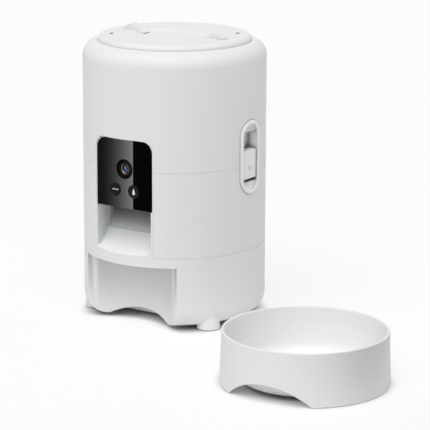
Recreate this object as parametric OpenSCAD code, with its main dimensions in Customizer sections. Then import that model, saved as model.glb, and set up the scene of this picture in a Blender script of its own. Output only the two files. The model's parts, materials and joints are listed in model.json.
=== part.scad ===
// Automatic pet feeder with camera: a round hopper on a base with a drive,
// a camera panel over the food outlet, and a separate bowl.
// Millimetres, +Z up, front towards -Y, origin on the floor in the middle of feeder and bowl.

/* [Body] */
// Outside diameter of the round body
body_d = 190; // [180:1:210]
// Wall of the moulded shells
wall = 2.6; // [2:0.1:3.2]
// Height of the body's underside above the floor
ground_gap = 4; // [3:0.5:7]
// Height of the seam between base tub and middle shell
low_seam_z = 78; // [77:0.5:82]
// Height of the seam between middle shell and hopper
mid_seam_z = 166.5; // [160:0.5:172]
// Height of the shoulder's top, where the lid's seam runs
lid_seam_z = 288; // [276:1:310]
// Rounding of the hopper's shoulder
shoulder_r = 16; // [12:1:18]
// Rounding of the base tub's lower edge
bottom_r = 18; // [14:1:22]
// Depth of the V groove along each seam
seam_groove = 0.35; // [0.25:0.05:1]

/* [Camera panel] */
// Width of the black panel
panel_w = 69; // [64:1:72]
// Height of the black panel
panel_h = 71.1; // [64:0.1:74]
// Height of the panel's lower edge
panel_z = 125.7; // [122:0.1:130]
// Thickness of the panel
panel_t = 2.4; // [1.6:0.2:3]
// Radius of the panel's two upper corners
panel_corner_r = 11; // [6:1:16]
// White edge of the housing round the panel
bezel = 1.2; // [0.8:0.2:2]
// Depth of the camera housing
tower_depth = 14.5; // [13:0.5:16]
// Height of the lens above the panel's lower edge
lens_up = 40.6; // [36:0.1:46]
// Outside diameter of the lens ring
lens_ring_d = 19.5; // [14:0.5:20]
// Diameter of the two round buttons
button_d = 12.8; // [10:0.2:14]
// Distance between the two buttons
button_pitch = 23; // [20:1:30]
// Height of the buttons above the panel's lower edge
button_up = 18.4; // [14:0.2:20]
// Travel of a button
button_travel = 0.8; // [0.5:0.1:1]

/* [Food outlet] */
// Height of the outlet's sill at the front
sill_z = 79.5; // [79:0.5:84]
// Depth of the outlet's mouth behind the camera panel's face
mouth_depth = 17; // [15:0.5:19]
// Slope of the mouth's floor at the sill
sill_slope = 15; // [10:1:25]
// Slope of the mouth's floor at the back
back_slope = 62; // [56:1:68]
// Inside width of the duct behind the mouth
duct_w = 66; // [48:1:67]
// Slope of the duct's floor
duct_slope = 62; // [58:1:68]
// Wall of the chute
chute_wall = 2.2; // [1.6:0.2:3]

/* [Bowl and dock] */
// Diameter of the bowl at its rim
bowl_d = 160; // [150:1:166]
// Diameter of the bowl at its foot
bowl_foot_d = 163.6; // [152:0.4:168]
// Height of the bowl
bowl_h = 52; // [46:1:58]
// Wall of the bowl
bowl_wall = 2.6; // [2:0.2:3.4]
// Height of the bowl's floor inside
bowl_floor_z = 5.4; // [4.6:0.2:9]
// Rounding between the bowl's floor and its wall
bowl_fillet_r = 17; // [10:1:22]
// Lean of the bowl's inside wall
bowl_lean = 12; // [8:1:14]
// Width of the arch in the bowl's skirt
bowl_arch_w = 88; // [60:2:100]
// Height of the arch in the bowl's skirt
bowl_arch_h = 18; // [10:1:24]
// Place of the bowl to the right of the body's axis
bowl_x = 248; // [220:1:300]
// Place of the bowl in front of the body's axis
bowl_front = 134; // [60:1:180]
// Turn of the bowl about its own axis
bowl_turn = 4; // [-20:1:20]
// Height of the dock's roof
dock_top_z = 68; // [64:1:70]
// Half of the angle that the dock takes out of the body
dock_angle = 35.5; // [30:0.5:38]
// Gap between the docked bowl and the dock's wall
dock_gap = 1.4; // [0.8:0.2:4]
// Rounding of the dock's upright edges
dock_edge_r = 4.5; // [3:0.5:6]
// Width of the low arch under the dock
vault_w = 74; // [50:2:80]
// Height of the low arch under the dock
vault_h = 9; // [5:1:11]

/* [Side latches] */
// Width of the latch frame
latch_w = 34; // [30:1:36]
// Height of the latch frame
latch_h = 77; // [70:1:80]
// Height of the latch frame's lower end
latch_z = 137; // [133:1:140]
// Width of the raised bead round the latch
latch_bead = 4.5; // [3:0.5:6]
// Height of the bead above the body
latch_proud = 2; // [0.6:0.2:2.4]
// Length of the sliding latch button
latch_button_h = 29.5; // [26:0.5:32]
// Height of the finger hollow over the button
latch_hollow_h = 19.5; // [16:0.5:21]
// Travel of the latch button
latch_travel = 3; // [2:0.2:3.4]

/* [Hopper and rotor] */
// Gap between the camera housing and the rotor bowl
housing_gap = 5; // [4:0.5:8]
// Height of the rotor bowl
rotor_bowl_h = 43; // [40:1:46]
// Wall of the funnel
funnel_wall = 2.4; // [2:0.2:3]
// Height of the funnel's cone
cone_h = 22; // [18:1:26]
// Number of rotor vanes
vane_count = 6; // [4:1:8]
// Height of a rotor vane
vane_h = 22; // [18:1:23]
// Thickness of a rotor vane
vane_t = 4; // [3:0.5:6]
// Half angle of the outlet in the rotor bowl's floor
outlet_angle = 22; // [16:1:23]

/* [Drive] */
// Teeth of the drive gear
gear_teeth = 44; // [40:4:48]
// Teeth of the motor pinion
pinion_teeth = 16; // [16:2:20]
// Module of the gear teeth
gear_module = 1; // [0.8:0.1:1.1]
// Width of the gears
gear_w = 8; // [6:0.5:9]
// Diameter of the drive shaft
shaft_d = 8; // [7:0.5:9]
// Width across flats of the drive head
drive_flats = 10; // [9.5:0.5:11]
// Diameter of the motor
motor_d = 28; // [24:1:32]
// Length of the motor
motor_len = 38; // [30:1:44]

/* [Lid] */
// Radius of the lid
lid_r = 79.4; // [76:0.2:80]
// Height of the lid above the shoulder
lid_rise = 5.4; // [4:0.2:6]
// Rounding of the lid's top edge
lid_edge_r = 5; // [2:0.5:5]
// Radius of the finger dish's front and back edge
dish_r = 52.7; // [46:0.1:54]
// Depth of the finger dish
dish_depth = 3.5; // [3:0.5:5]
// Distance from the lid's middle to the dish's front edge
dish_reach = 34; // [30:1:38]
// Round from the dish's floor up to its edge
dish_round = 32; // [20:1:40]
// Distance of the latch blocks' inner ends from the lid's middle
lid_block_x = 35.5; // [34.5:0.5:37]
// Distance of the latch blocks' crests from the lid's middle
lid_crest_x = 49.5; // [48:0.5:51]
// Length of a latch block's flat crest
lid_crest_l = 4; // [3:0.5:5]
// Length of the ramp behind a latch block's crest
lid_ramp_l = 10; // [8:0.5:11]
// Width of a lid latch block
lid_block_w = 10; // [8:0.5:11]
// Height of the blocks above the lid
lid_block_rise = 6.3; // [4:0.1:7]
// Radius of the hollow in a block's inner face
lid_scoop_r = 26; // [20:1:40]
// Travel of a lid latch block
lid_block_travel = 4; // [3:0.5:4.5]
// Radius of the desiccant box
desiccant_r = 30; // [24:1:40]
// Depth of the desiccant box
desiccant_h = 14; // [10:1:20]

/* [Feet and inlet] */
// Radius of a foot at the floor
foot_r = 12; // [9:0.5:13]
// Radius of a foot at its top
foot_top_r = 10.8; // [10:0.2:11.4]
// Height of a foot
foot_h = 18; // [16:0.5:19]
// Distance of a foot from the body's axis
foot_ring_r = 83; // [78:0.5:84]
// Angle of the front feet from the front
foot_angle = 60; // [56:1:70]
// Diameter of the power inlet's bore
inlet_bore_d = 5.5; // [5:0.1:6.5]
// Height of the power inlet
inlet_z = 36; // [30:1:50]

/* [Hidden] */
$fn = 96;

// Colours of the mouldings
white = "#E6E7E7";
grey = "#9A9C9E";
black = "#101112";
board_green = "#2F5D3A";
steel = "#B9BCC0";
pom = "#D9D6CC";
soft_white = "#DADBDB";

// Clearances
slip = 0.2;
seat = 0.3;
run = 0.05;
eps = 0.01;
past = 1;

// Body
body_r = body_d / 2;
inner_r = body_r - wall;

// Middle of the ground that feeder and bowl take up together
bowl_half = max(bowl_d, bowl_foot_d) / 2;
centre_x = (bowl_x + bowl_half - body_r - latch_proud) / 2;
centre_y = (body_r - bowl_front - bowl_half) / 2;

// Base
base_floor_z = ground_gap + wall;
tongue_h = 4;

// Camera housing and the slot that it stands in
slot_gap = 0.4;
tower_w = panel_w + 2 * bezel;
slot_w = tower_w + 2 * slot_gap;
face_y = -sqrt(pow(body_r, 2) - pow(slot_w / 2, 2));
tower_back_y = face_y + tower_depth;
tower_wall = 1.8;
tower_top_z = panel_z + panel_h + bezel;
tower_corner_r = panel_corner_r + bezel;
lens_z = panel_z + lens_up;
button_z = panel_z + button_up;
panel_back_y = face_y + panel_t;
button_flange = 1;
button_flange_t = 1.6;
button_proud = 0.3;
button_back_y = panel_back_y + button_flange_t;
board_t = 1.6;
board_boss_h = 1.2;
board_boss_r = 2.4;
board_margin = 4;
board_y = tower_back_y - tower_wall - board_boss_h - board_t;
board_half = panel_w / 2 - tower_wall - board_margin;
board_low_z = panel_z + board_margin;
board_top_z = panel_z + panel_h - 2 * board_margin;
switch_r = 2.4;
chip_side = 10;
chip_h = 2;
ring_w = 2;
ring_proud = 0.6;
ring_flange_t = 1.4;
barrel_r = lens_ring_d / 2 - ring_w - slip;
barrel_wall = 1.2;
glass_seat_y = face_y + 4.4;
glass_dome = 1.2;
glass_t = 1;
mic_x = -17.6;
mic_d = 1.4;

// Deck over the drive
deck_t = 3;
deck_top_z = mid_seam_z - 3.7;
deck_z = deck_top_z - deck_t;
ledge_t = 3;
ledge_w = 3;

// Chute
mouth_back_y = face_y + mouth_depth;
mouth_run = mouth_back_y + body_r;
mouth_r = mouth_run / (sin(back_slope) - sin(sill_slope));
mouth_centre = [-body_r - mouth_r * sin(sill_slope), sill_z + mouth_r * cos(sill_slope)];
mouth_back_z = mouth_centre[1] - mouth_r * cos(back_slope);
duct_y = mouth_back_y + chute_wall;
duct_back_y = duct_y + (deck_z - mouth_back_z) / tan(duct_slope);
mouth_half = slot_w / 2 - slip;
apron_t = 8;

// Dock
dock_r = bowl_half + dock_gap;
dock_y = -(sqrt(pow(dock_r, 2) - pow(body_r * sin(dock_angle), 2)) + body_r * cos(dock_angle));
vault_r = (pow(vault_w / 2, 2) + pow(vault_h, 2)) / (2 * vault_h);
vault_back = 16;
// Centre of the round on the dock's upright edge: inside the body, outside the dock
edge_bite = 0.06;
edge_a = body_r - dock_edge_r + edge_bite;
edge_b = dock_r + dock_edge_r - edge_bite;
edge_y = (pow(edge_a, 2) - pow(edge_b, 2) + pow(dock_y, 2)) / (2 * dock_y);
edge_x = sqrt(pow(edge_a, 2) - pow(edge_y, 2));

// Bottom opening and its cover
opening_in = 35;
opening_r = body_r - opening_in;
opening_gap = 1.8;
opening_front = -(dock_y + dock_r + wall + vault_back + opening_gap);
opening_ledge = 4;
cover_t = 1.4;
screw_r = 1.4;
screw_head_r = 2.6;
screw_head_h = 1.2;
screw_len = 8;
screw_cross_l = 3.2;
screw_cross_w = 0.7;
screw_cross_h = 0.7;
boss_r = 3.4;
boss_h = 12;
screw_ring_r = opening_r - opening_ledge / 2;
screw_angle = 20;
screw_side = screw_ring_r * [cos(screw_angle), sin(screw_angle)];
cover_screws = [screw_side, [0, screw_ring_r], [-screw_side[0], screw_side[1]],
    [0, opening_ledge / 2 - opening_front]];
speaker_r = 14;
speaker_h = 7;
speaker_rim_h = 4;
speaker_magnet_r = 9;
speaker_hole_r = 1.5;
speaker_rim_t = 2;
speaker_gap = 0.8;
speaker_y = opening_ledge / 2 + boss_r + speaker_gap + speaker_rim_t + speaker_r - opening_front;
main_board_z = 20;
main_board_side = 28;
main_board_back = 20;
main_board_half = opening_r - main_board_side;
main_board_y0 = speaker_y + speaker_r;
main_board_y1 = opening_r - main_board_back;
main_chip = 16;
main_plug = 12;
main_can_r = 5;
standoff_r = 3;
standoff_in = 4;
standoff_x = main_board_half - standoff_in;
standoff_ys = [main_board_y0 + standoff_in, main_board_y1 - standoff_in];
inlet_side = 12;
inlet_depth = 9.5;
inlet_len = 12;
inlet_face_y = body_r - wall - 2;
inlet_mouth_y = body_r - 0.6;
pad_r = 9;
pad_t = 1.6;
pad_proud = 0.6;
foot_dirs = [-90 + foot_angle, -90 - foot_angle, 90];

// Latches
latch_slot_w = latch_w - 2 * latch_bead;
latch_slot_h = latch_h - 2 * latch_bead;
latch_back_x = body_r - 16;
latch_back_t = 4.3;
latch_low_face = latch_z + 12.6;
latch_button_z = latch_low_face + latch_travel + slip;
latch_well_top = latch_button_z + latch_button_h + latch_hollow_h;
latch_recess = 1;
latch_ear = 6;
latch_ear_t = 3;
latch_mid_z = latch_z + latch_h / 2;
latch_stem_w = 8;
latch_stem_h = 7.5;
latch_stem_z = latch_button_z + 11.5;
spring_x = body_r - 8;
spring_r = 2.8;
spring_wire = 0.9;
spring_pin_r = 1.5;
spring_pin_l = 3;
spring_foot_z = latch_z + 2.6;

// Hopper
hopper_z = mid_seam_z;
neck_gap = 0.5;
neck_r = lid_r + neck_gap;
lid_seat_z = lid_seam_z - 5;
lid_seat_t = 3;
lid_seat_r = neck_r - 6.2;
collar_t = 2.6;
rotor_bowl_r = -tower_back_y - housing_gap - funnel_wall;
funnel_floor_z = deck_top_z + seat;
funnel_floor_t = 2.6;
bowl_top_z = funnel_floor_z + rotor_bowl_h;
cone_top_z = bowl_top_z + cone_h;
cone_top_r = inner_r - slip - funnel_wall;
flange_t = 2.5;
lug_t = 2;
lug_w = 16;
keeper_x = latch_back_x - 5.1;
keeper_gap = 0.6;
keeper_w = 12;
keeper_t = 3;
outlet_r0 = 41;
outlet_r1 = rotor_bowl_r - 2;

// Rotor
rotor_lift = 0.6;
rotor_z = funnel_floor_z + funnel_floor_t + rotor_lift;
hub_r = 11;
hub_h = vane_h + 8;
tip_gap = 1.2;
tip_l = 8;
tip_root = 3;
tip_t = 1.6;
vane_r = rotor_bowl_r - tip_gap - tip_l + tip_root;
shield_z = rotor_z + vane_h + 4;
shield_t = 2;
shield_rib = 2;
shield_angle = 52;
shield_r0 = hub_r + 3;

// Drive
gear_centres = gear_module * (gear_teeth + pinion_teeth) / 2;
gear_z = deck_z - 5.8 - gear_w;
plate_t = 3;
plate_z = gear_z - 3 - plate_t;
motor_shaft_r = 1.5;
pressure_angle = 20;
addendum = 0.8;
dedendum = 1.1;
backlash = 0.12;
bush_t = 2;
bush_flange = 2.5;
bush_flange_t = 1;
head_z = deck_top_z - 2;
head_h = 16;
pitch_r = gear_module * gear_teeth / 2;
gear_hub = 4;
gear_rim = 4;
gear_web_cut = 2;
gear_hole_r = (pitch_r - gear_rim - shaft_d / 2 - gear_hub) / 4;
gear_hole_ring = (pitch_r - gear_rim + shaft_d / 2 + gear_hub) / 2;
post_r = 4;
plate_edge = 2;
plate_half = pitch_r + 3 * post_r;
plate_front = -0.8 * pitch_r;
plate_mid = 0.9 * pitch_r;
plate_tail_half = motor_d / 2 + 2 * post_r;
plate_tail = gear_centres + motor_d / 2 + 1.5 * post_r;
plate_posts = [[plate_half, plate_front], [-plate_half, plate_front], [0, plate_tail]];

// Lid
lid_top_z = lid_seam_z + lid_rise;
lid_foot_z = lid_seat_z;
lid_wall = 2.4;
dish_floor_z = lid_top_z - dish_depth;
dish_y = dish_r - dish_reach;
dish_wall = 2;
dish_over = 5;
dish_floor_r = dish_r - sqrt(pow(dish_round, 2) - pow(dish_round - dish_depth, 2));
dish_lap = 0.5;
lid_plate_t = 2.4;
lid_plate_drop = 1.9;
lid_plate_z = lid_seat_z - lid_plate_drop;
lid_plate_r = lid_seat_r - 1.4;
lid_boss_r = 16;
seal_t = 1.8;
plug_r = 1.8;
plug_ring_r = 65;
plug_angle = 36;
plug_proud = 0.6;
plug_len = 3;
desiccant_wall = 1.6;
lid_tongue_w = 7;
lid_tongue_t = 2;
lid_tongue_z = lid_plate_z + lid_plate_t;
lid_ramp_x = lid_crest_x + lid_crest_l + lid_ramp_l;
lid_ramp_foot = 0.4;
lid_lip_l = 6.3;
lid_lip_t = 0.6;
lid_stem_l = 13;
lid_stem_x = lid_block_x + lid_lip_l;
lid_slot_x = lid_stem_x - lid_block_travel - seat;
// The lip over a block's slot clears the dish at the slot's inner corners
lip_corner = max(norm([lid_slot_x, lid_block_w / 2 + dish_y]) - dish_floor_r, 0);
lid_lip_z = dish_floor_z + dish_round - sqrt(pow(dish_round, 2) - pow(lip_corner, 2)) + seat;
grille_pitch = 7;
grille_half = 1.2;
grille_l = desiccant_r - 16;

// Flat shapes

// Half profile of a barrel, rounded at its lower and upper edge
module barrel_half(r, z0, z1, low_r, top_r) {
    translate([0, z0 + low_r])
        square([r, z1 - z0 - low_r - top_r]);
    if (low_r > 0) {
        translate([0, z0])
            square([r - low_r, low_r + eps]);
        intersection() {
            translate([r - low_r, z0 + low_r])
                circle(low_r);
            translate([0, z0])
                square([r + past, low_r + eps]);
        }
    }
    if (top_r > 0) {
        translate([0, z1 - top_r - eps])
            square([r - top_r, top_r + eps]);
        intersection() {
            translate([r - top_r, z1 - top_r])
                circle(top_r);
            translate([0, z1 - top_r - eps])
                square([r + past, top_r + past]);
        }
    }
}

// Upright round-ended outline, its lower end at z0
module stadium(w, h, z0) {
    translate([-w / 2, z0 + w / 2])
        square([w, h - w]);
    translate([0, z0 + w / 2])
        circle(w / 2);
    translate([0, z0 + h - w / 2])
        circle(w / 2);
}

// Upright outline with square lower and round upper corners
module door_outline(w, z0, z1, r) {
    translate([-w / 2, z0])
        square([w, z1 - r - z0]);
    translate([-w / 2 + r, z0])
        square([w - 2 * r, z1 - z0]);
    for (side = [-1, 1])
        translate([side * (w / 2 - r), z1 - r])
            circle(r);
}

// Involute: angle between a tooth's flank at radius r and at its base circle
function involute_angle(base, r) =
    sqrt(max(pow(r / base, 2) - 1, 0)) * 180 / PI - acos(min(base / r, 1));

// Outline of a spur gear with one tooth on the X axis
module gear_outline(teeth) {
    pitch_r = gear_module * teeth / 2;
    base = pitch_r * cos(pressure_angle);
    tip = pitch_r + addendum * gear_module;
    root = pitch_r - dedendum * gear_module;
    start = max(base, root) + eps;
    half = 90 / teeth - backlash / pitch_r * 90 / PI + involute_angle(base, pitch_r);
    steps = [0, 0.25, 0.5, 0.75, 1];
    flank = [for (s = steps) let (r = start + (tip - start) * s) [r, half - involute_angle(base, r)]];
    tooth = concat([[root, -half]], [for (p = flank) [p[0], -p[1]]],
        [for (i = [len(flank) - 1:-1:0]) flank[i]], [[root, half]]);
    polygon([for (i = [0:teeth - 1]) for (p = tooth)
        p[0] * [cos(p[1] + 360 * i / teeth), sin(p[1] + 360 * i / teeth)]]);
}

// Solids that several pieces share

// From the body's axis to the middle of feeder and bowl
module placed() {
    translate([-centre_x, -centre_y, 0])
        children();
}

// A flat shape drawn as (across, up), pushed back from the front at y0 to y1
module push_back(y0, y1) {
    translate([0, y1, 0])
        rotate([90, 0, 0])
            linear_extrude(y1 - y0)
                children();
}

// A flat shape drawn as (y, z), spread along X from x0 to x1
module spread(x0, x1) {
    translate([x0, 0, 0])
        rotate([90, 0, 90])
            linear_extrude(x1 - x0)
                children();
}

module tube(r1, r0, z0, z1) {
    translate([0, 0, z0])
        difference() {
            cylinder(r = r1, h = z1 - z0);
            translate([0, 0, -past])
                cylinder(r = r0, h = z1 - z0 + 2 * past);
        }
}

module box(x0, x1, y0, y1, z0, z1) {
    translate([x0, y0, z0])
        cube([x1 - x0, y1 - y0, z1 - z0]);
}

module post(x, y, z0, z1, r) {
    translate([x, y, z0])
        cylinder(r = r, h = z1 - z0);
}

module seam_cut(z) {
    rotate_extrude()
        translate([body_r, z])
            circle(r = seam_groove, $fn = 4);
}

// Base

module tub_envelope() {
    rotate_extrude()
        barrel_half(body_r, ground_gap, low_seam_z, bottom_r, 0);
}

// The upright rounded edge: what lies outside the round is cut away
module dock_edge_cut(side) {
    corner = [side * body_r * sin(dock_angle), -body_r * cos(dock_angle)];
    mid = [side * edge_x, edge_y];
    to_body = mid / norm(mid);
    to_dock = ([0, dock_y] - mid) / norm([0, dock_y] - mid);
    reach = 2.2 * dock_edge_r;
    translate([0, 0, -past])
        linear_extrude(dock_top_z + past)
            difference() {
                polygon([mid, mid + reach * to_body, corner + 2 * (corner - mid), mid + reach * to_dock]);
                translate(mid)
                    circle(dock_edge_r);
            }
}

// Outline of the bottom opening, drawn in by a margin
module opening_outline(margin) {
    intersection() {
        circle(opening_r - margin);
        translate([-opening_r, margin - opening_front])
            square([2 * opening_r, 2 * opening_r]);
    }
}

module base_tub() {
    color(white)
        difference() {
            union() {
                difference() {
                    tub_envelope();
                    rotate_extrude()
                        barrel_half(inner_r, base_floor_z, low_seam_z + past, bottom_r - wall, 0);
                }
                intersection() {
                    tub_envelope();
                    union() {
                        post(0, dock_y, ground_gap, dock_top_z + wall, dock_r + wall);
                        for (side = [-1, 1])
                            post(side * edge_x, edge_y, ground_gap, dock_top_z + wall,
                                dock_edge_r + wall / 2);
                        box(-vault_w / 2 - wall, vault_w / 2 + wall, -body_r,
                            dock_y + dock_r + wall + vault_back, ground_gap, ground_gap + vault_h + wall);
                    }
                }
                rotate_extrude()
                    polygon([[inner_r - wall, low_seam_z - tongue_h],
                        [inner_r + wall / 2, low_seam_z - tongue_h],
                        [inner_r + wall / 2, low_seam_z], [inner_r - slip, low_seam_z],
                        [inner_r - slip, low_seam_z + tongue_h], [inner_r - wall, low_seam_z + tongue_h]]);
                for (dir = foot_dirs)
                    rotate(dir)
                        translate([foot_ring_r, 0, pad_proud])
                            cylinder(r1 = foot_r, r2 = foot_top_r, h = foot_h);
                for (p = cover_screws)
                    post(p[0], p[1], base_floor_z - wall / 4, base_floor_z + boss_h, boss_r);
                box(-inlet_side / 2 - 1, inlet_side / 2 + 1, inlet_face_y, body_r - wall / 2,
                    inlet_z - inlet_side / 2 - 1, inlet_z + inlet_side / 2 + 1);
            }
            post(0, dock_y, -past, dock_top_z, dock_r);
            for (side = [-1, 1])
                dock_edge_cut(side);
            translate([0, 0, ground_gap + vault_h - vault_r])
                rotate([90, 0, 0])
                    translate([0, 0, -(dock_y + dock_r + vault_back)])
                        cylinder(r = vault_r, h = body_r + dock_r);
            box(-slot_w / 2, slot_w / 2, -body_r, -body_r / 2, low_seam_z, low_seam_z + tongue_h + past);
            translate([0, 0, ground_gap - past])
                linear_extrude(cover_t + past)
                    opening_outline(0);
            translate([0, 0, ground_gap])
                linear_extrude(wall + past)
                    difference() {
                        opening_outline(opening_ledge);
                        for (p = cover_screws)
                            translate(p)
                                circle(boss_r);
                    }
            for (p = cover_screws)
                post(p[0], p[1], ground_gap, base_floor_z + boss_h - 2, screw_r + run);
            for (dir = foot_dirs)
                rotate(dir)
                    translate([foot_ring_r, 0, pad_proud - past])
                        cylinder(r = pad_r + slip, h = pad_t - pad_proud + past);
            for (dir = foot_dirs)
                rotate(dir)
                    translate([foot_ring_r, 0, pad_t + wall])
                        cylinder(r = foot_top_r - wall, h = foot_h);
            along_y(0, inlet_z, inlet_face_y - past, body_r + past, inlet_bore_d);
            seam_cut(low_seam_z);
        }
}

module bottom_cover() {
    color(white)
        difference() {
            union() {
                translate([0, 0, ground_gap])
                    linear_extrude(cover_t)
                        opening_outline(seat);
                for (side = [-1, 1], y = standoff_ys)
                    post(side * standoff_x, y, ground_gap + cover_t - eps, main_board_z, standoff_r);
                translate([0, speaker_y, 0])
                    tube(speaker_r + speaker_rim_t, speaker_r + slip, ground_gap + cover_t - eps,
                        ground_gap + cover_t + speaker_rim_h);
            }
            for (p = cover_screws)
                post(p[0], p[1], ground_gap - past, ground_gap + cover_t + past, screw_r + slip);
            for (a = [0:60:300])
                translate([0, speaker_y, 0])
                    rotate(a)
                        post(speaker_r / 2, 0, ground_gap - past, ground_gap + cover_t + past,
                            speaker_hole_r);
        }
}

module bottom_screws() {
    color(steel)
        for (p = cover_screws)
            difference() {
                union() {
                    post(p[0], p[1], ground_gap - screw_head_h, ground_gap, screw_head_r);
                    post(p[0], p[1], ground_gap - eps, ground_gap + screw_len, screw_r);
                }
                for (turn = [0, 90])
                    translate([p[0], p[1], ground_gap - screw_head_h])
                        rotate(turn)
                            box(-screw_cross_l / 2, screw_cross_l / 2, -screw_cross_w / 2, screw_cross_w / 2,
                                -past, screw_cross_h);
            }
}

module foot_pads() {
    color(grey)
        for (dir = foot_dirs)
            rotate(dir)
                translate([foot_ring_r, 0, 0])
                    cylinder(r = pad_r, h = pad_t);
}

module main_board() {
    top = main_board_z + board_t;
    mid_y = (main_board_y0 + main_board_y1) / 2;
    color(board_green) {
        box(-main_board_half, main_board_half, main_board_y0, main_board_y1, main_board_z, top);
        box(-main_chip, 0, mid_y - main_chip, mid_y, top - eps, top + chip_h);
        box(main_plug, 2 * main_plug, mid_y, mid_y + main_plug, top - eps, top + main_plug - standoff_in);
        post(-main_plug - 2 * main_can_r, mid_y + 2 * main_can_r, top - eps, top + main_plug, main_can_r);
    }
}

module speaker() {
    color(black)
        translate([0, speaker_y, ground_gap + cover_t]) {
            cylinder(r = speaker_r, h = speaker_rim_h);
            cylinder(r = speaker_magnet_r, h = speaker_h);
        }
}

module power_inlet() {
    half = inlet_side / 2;
    color(black)
        difference() {
            union() {
                along_y(0, inlet_z, inlet_face_y - eps, inlet_mouth_y, inlet_bore_d - slip);
                box(-half, half, inlet_mouth_y - inlet_len, inlet_face_y, inlet_z - half, inlet_z + half);
            }
            along_y(0, inlet_z, inlet_mouth_y - inlet_depth, inlet_mouth_y + past, inlet_bore_d / 2);
        }
}

// Middle shell, deck and chute

module latch_notch(gap) {
    for (side = [0, 1])
        mirror([side, 0, 0])
            spread(inner_r - 2 * wall, body_r + past)
                stadium(latch_w + 2 * gap, latch_h + 2 * gap, latch_z - gap);
}

module mid_shell() {
    color(white)
        difference() {
            union() {
                tube(body_r, inner_r, low_seam_z, mid_seam_z);
                tube(inner_r + eps, inner_r - ledge_w, deck_z - ledge_t, deck_z);
            }
            box(-slot_w / 2, slot_w / 2, -body_r - past, 0, low_seam_z - past, mid_seam_z + past);
            latch_notch(seat);
            seam_cut(low_seam_z);
            seam_cut(mid_seam_z);
        }
}

module deck() {
    color(white)
        difference() {
            post(0, 0, deck_z, deck_top_z, inner_r - slip);
            post(0, 0, deck_z - past, deck_top_z + past, shaft_d / 2 + bush_t + run);
            box(-duct_w / 2, duct_w / 2, duct_y, duct_back_y,
                deck_z - past, deck_top_z + past);
            box(-slot_w / 2 - seat, slot_w / 2 + seat, -body_r, tower_back_y + seat,
                deck_z - past, deck_top_z + past);
            for (side = [0, 1])
                mirror([side, 0, 0])
                    box(keeper_x, body_r, -latch_w / 2 - seat, latch_w / 2 + seat,
                        deck_z - past, deck_top_z + past);
        }
}

// Floor of the outlet's mouth: a hollow round from the sill to the back
module mouth_floor() {
    intersection() {
        difference() {
            translate(mouth_centre)
                circle(mouth_r + chute_wall);
            translate(mouth_centre)
                circle(mouth_r);
        }
        translate([-body_r - past, low_seam_z])
            square([mouth_run + past, mouth_back_z - low_seam_z]);
    }
    difference() {
        translate([-body_r - past, low_seam_z])
            square([apron_t + past, mouth_back_z - low_seam_z]);
        translate(mouth_centre)
            circle(mouth_r);
    }
}

module mouth_side() {
    translate([-body_r - past, low_seam_z])
        square([mouth_run + past + chute_wall, panel_z - low_seam_z]);
}

module chute() {
    color(white)
        intersection() {
            post(0, 0, low_seam_z, deck_z, body_r);
            union() {
                spread(-mouth_half, mouth_half)
                    mouth_floor();
                for (side = [-1, 1])
                    spread(side * (mouth_half - chute_wall / 2) - chute_wall / 2,
                        side * (mouth_half - chute_wall / 2) + chute_wall / 2)
                        mouth_side();
                difference() {
                    box(-mouth_half, mouth_half, mouth_back_y, duct_y,
                        mouth_back_z - 2 * chute_wall, panel_z);
                    box(-duct_w / 2, duct_w / 2, mouth_back_y - past, mouth_back_y + 2 * chute_wall,
                        mouth_back_z, panel_z + past);
                }
            }
        }
}

// Sloping duct from the deck down to the chute's back wall
module duct() {
    thick = chute_wall / sin(duct_slope);
    color(grey) {
        spread(-duct_w / 2 - chute_wall, duct_w / 2 + chute_wall)
            polygon([[duct_y, mouth_back_z], [duct_back_y, deck_z], [duct_back_y + thick, deck_z],
                [duct_y + thick, mouth_back_z]]);
        for (side = [-1, 1])
            spread((side * (duct_w + chute_wall) - chute_wall) / 2,
                (side * (duct_w + chute_wall) + chute_wall) / 2)
                polygon([[duct_y, mouth_back_z], [duct_back_y + thick / 2, deck_z], [mouth_back_y, deck_z],
                    [mouth_back_y, panel_z], [duct_y, panel_z]]);
        box(-duct_w / 2 - chute_wall, duct_w / 2 + chute_wall, mouth_back_y, duct_y, panel_z, deck_z);
    }
}

// Camera housing and panel

module camera_housing() {
    color(white)
        difference() {
            push_back(face_y, tower_back_y)
                door_outline(tower_w, panel_z, tower_top_z, tower_corner_r);
            push_back(face_y - past, panel_back_y + slip)
                door_outline(panel_w + 2 * slip, panel_z - past, panel_z + panel_h + slip,
                    panel_corner_r + slip);
            push_back(face_y, tower_back_y - tower_wall)
                door_outline(tower_w - 2 * bezel - 2 * tower_wall, panel_z + tower_wall,
                    panel_z + panel_h - tower_wall, panel_corner_r - tower_wall);
        }
    color(white)
        for (side = [-1, 1], z = [board_low_z + board_margin, board_top_z - board_margin])
            along_y(side * (board_half - board_margin), z, board_y + board_t,
                tower_back_y - tower_wall + eps, board_boss_r);
}

module camera_panel() {
    color(black)
        difference() {
            push_back(face_y, panel_back_y)
                door_outline(panel_w, panel_z, panel_z + panel_h, panel_corner_r);
            along_y(0, lens_z, face_y - past, panel_back_y + past, lens_ring_d / 2 + slip);
            for (side = [-1, 1])
                along_y(side * button_pitch / 2, button_z, face_y - past, panel_back_y + past,
                    button_d / 2 + seat);
            along_y(mic_x, lens_z, face_y - past, panel_back_y + past, mic_d / 2);
        }
}

// A round bar along Y
module along_y(x, z, y0, y1, r) {
    translate([x, y0, z])
        rotate([-90, 0, 0])
            cylinder(r = r, h = y1 - y0);
}

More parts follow.
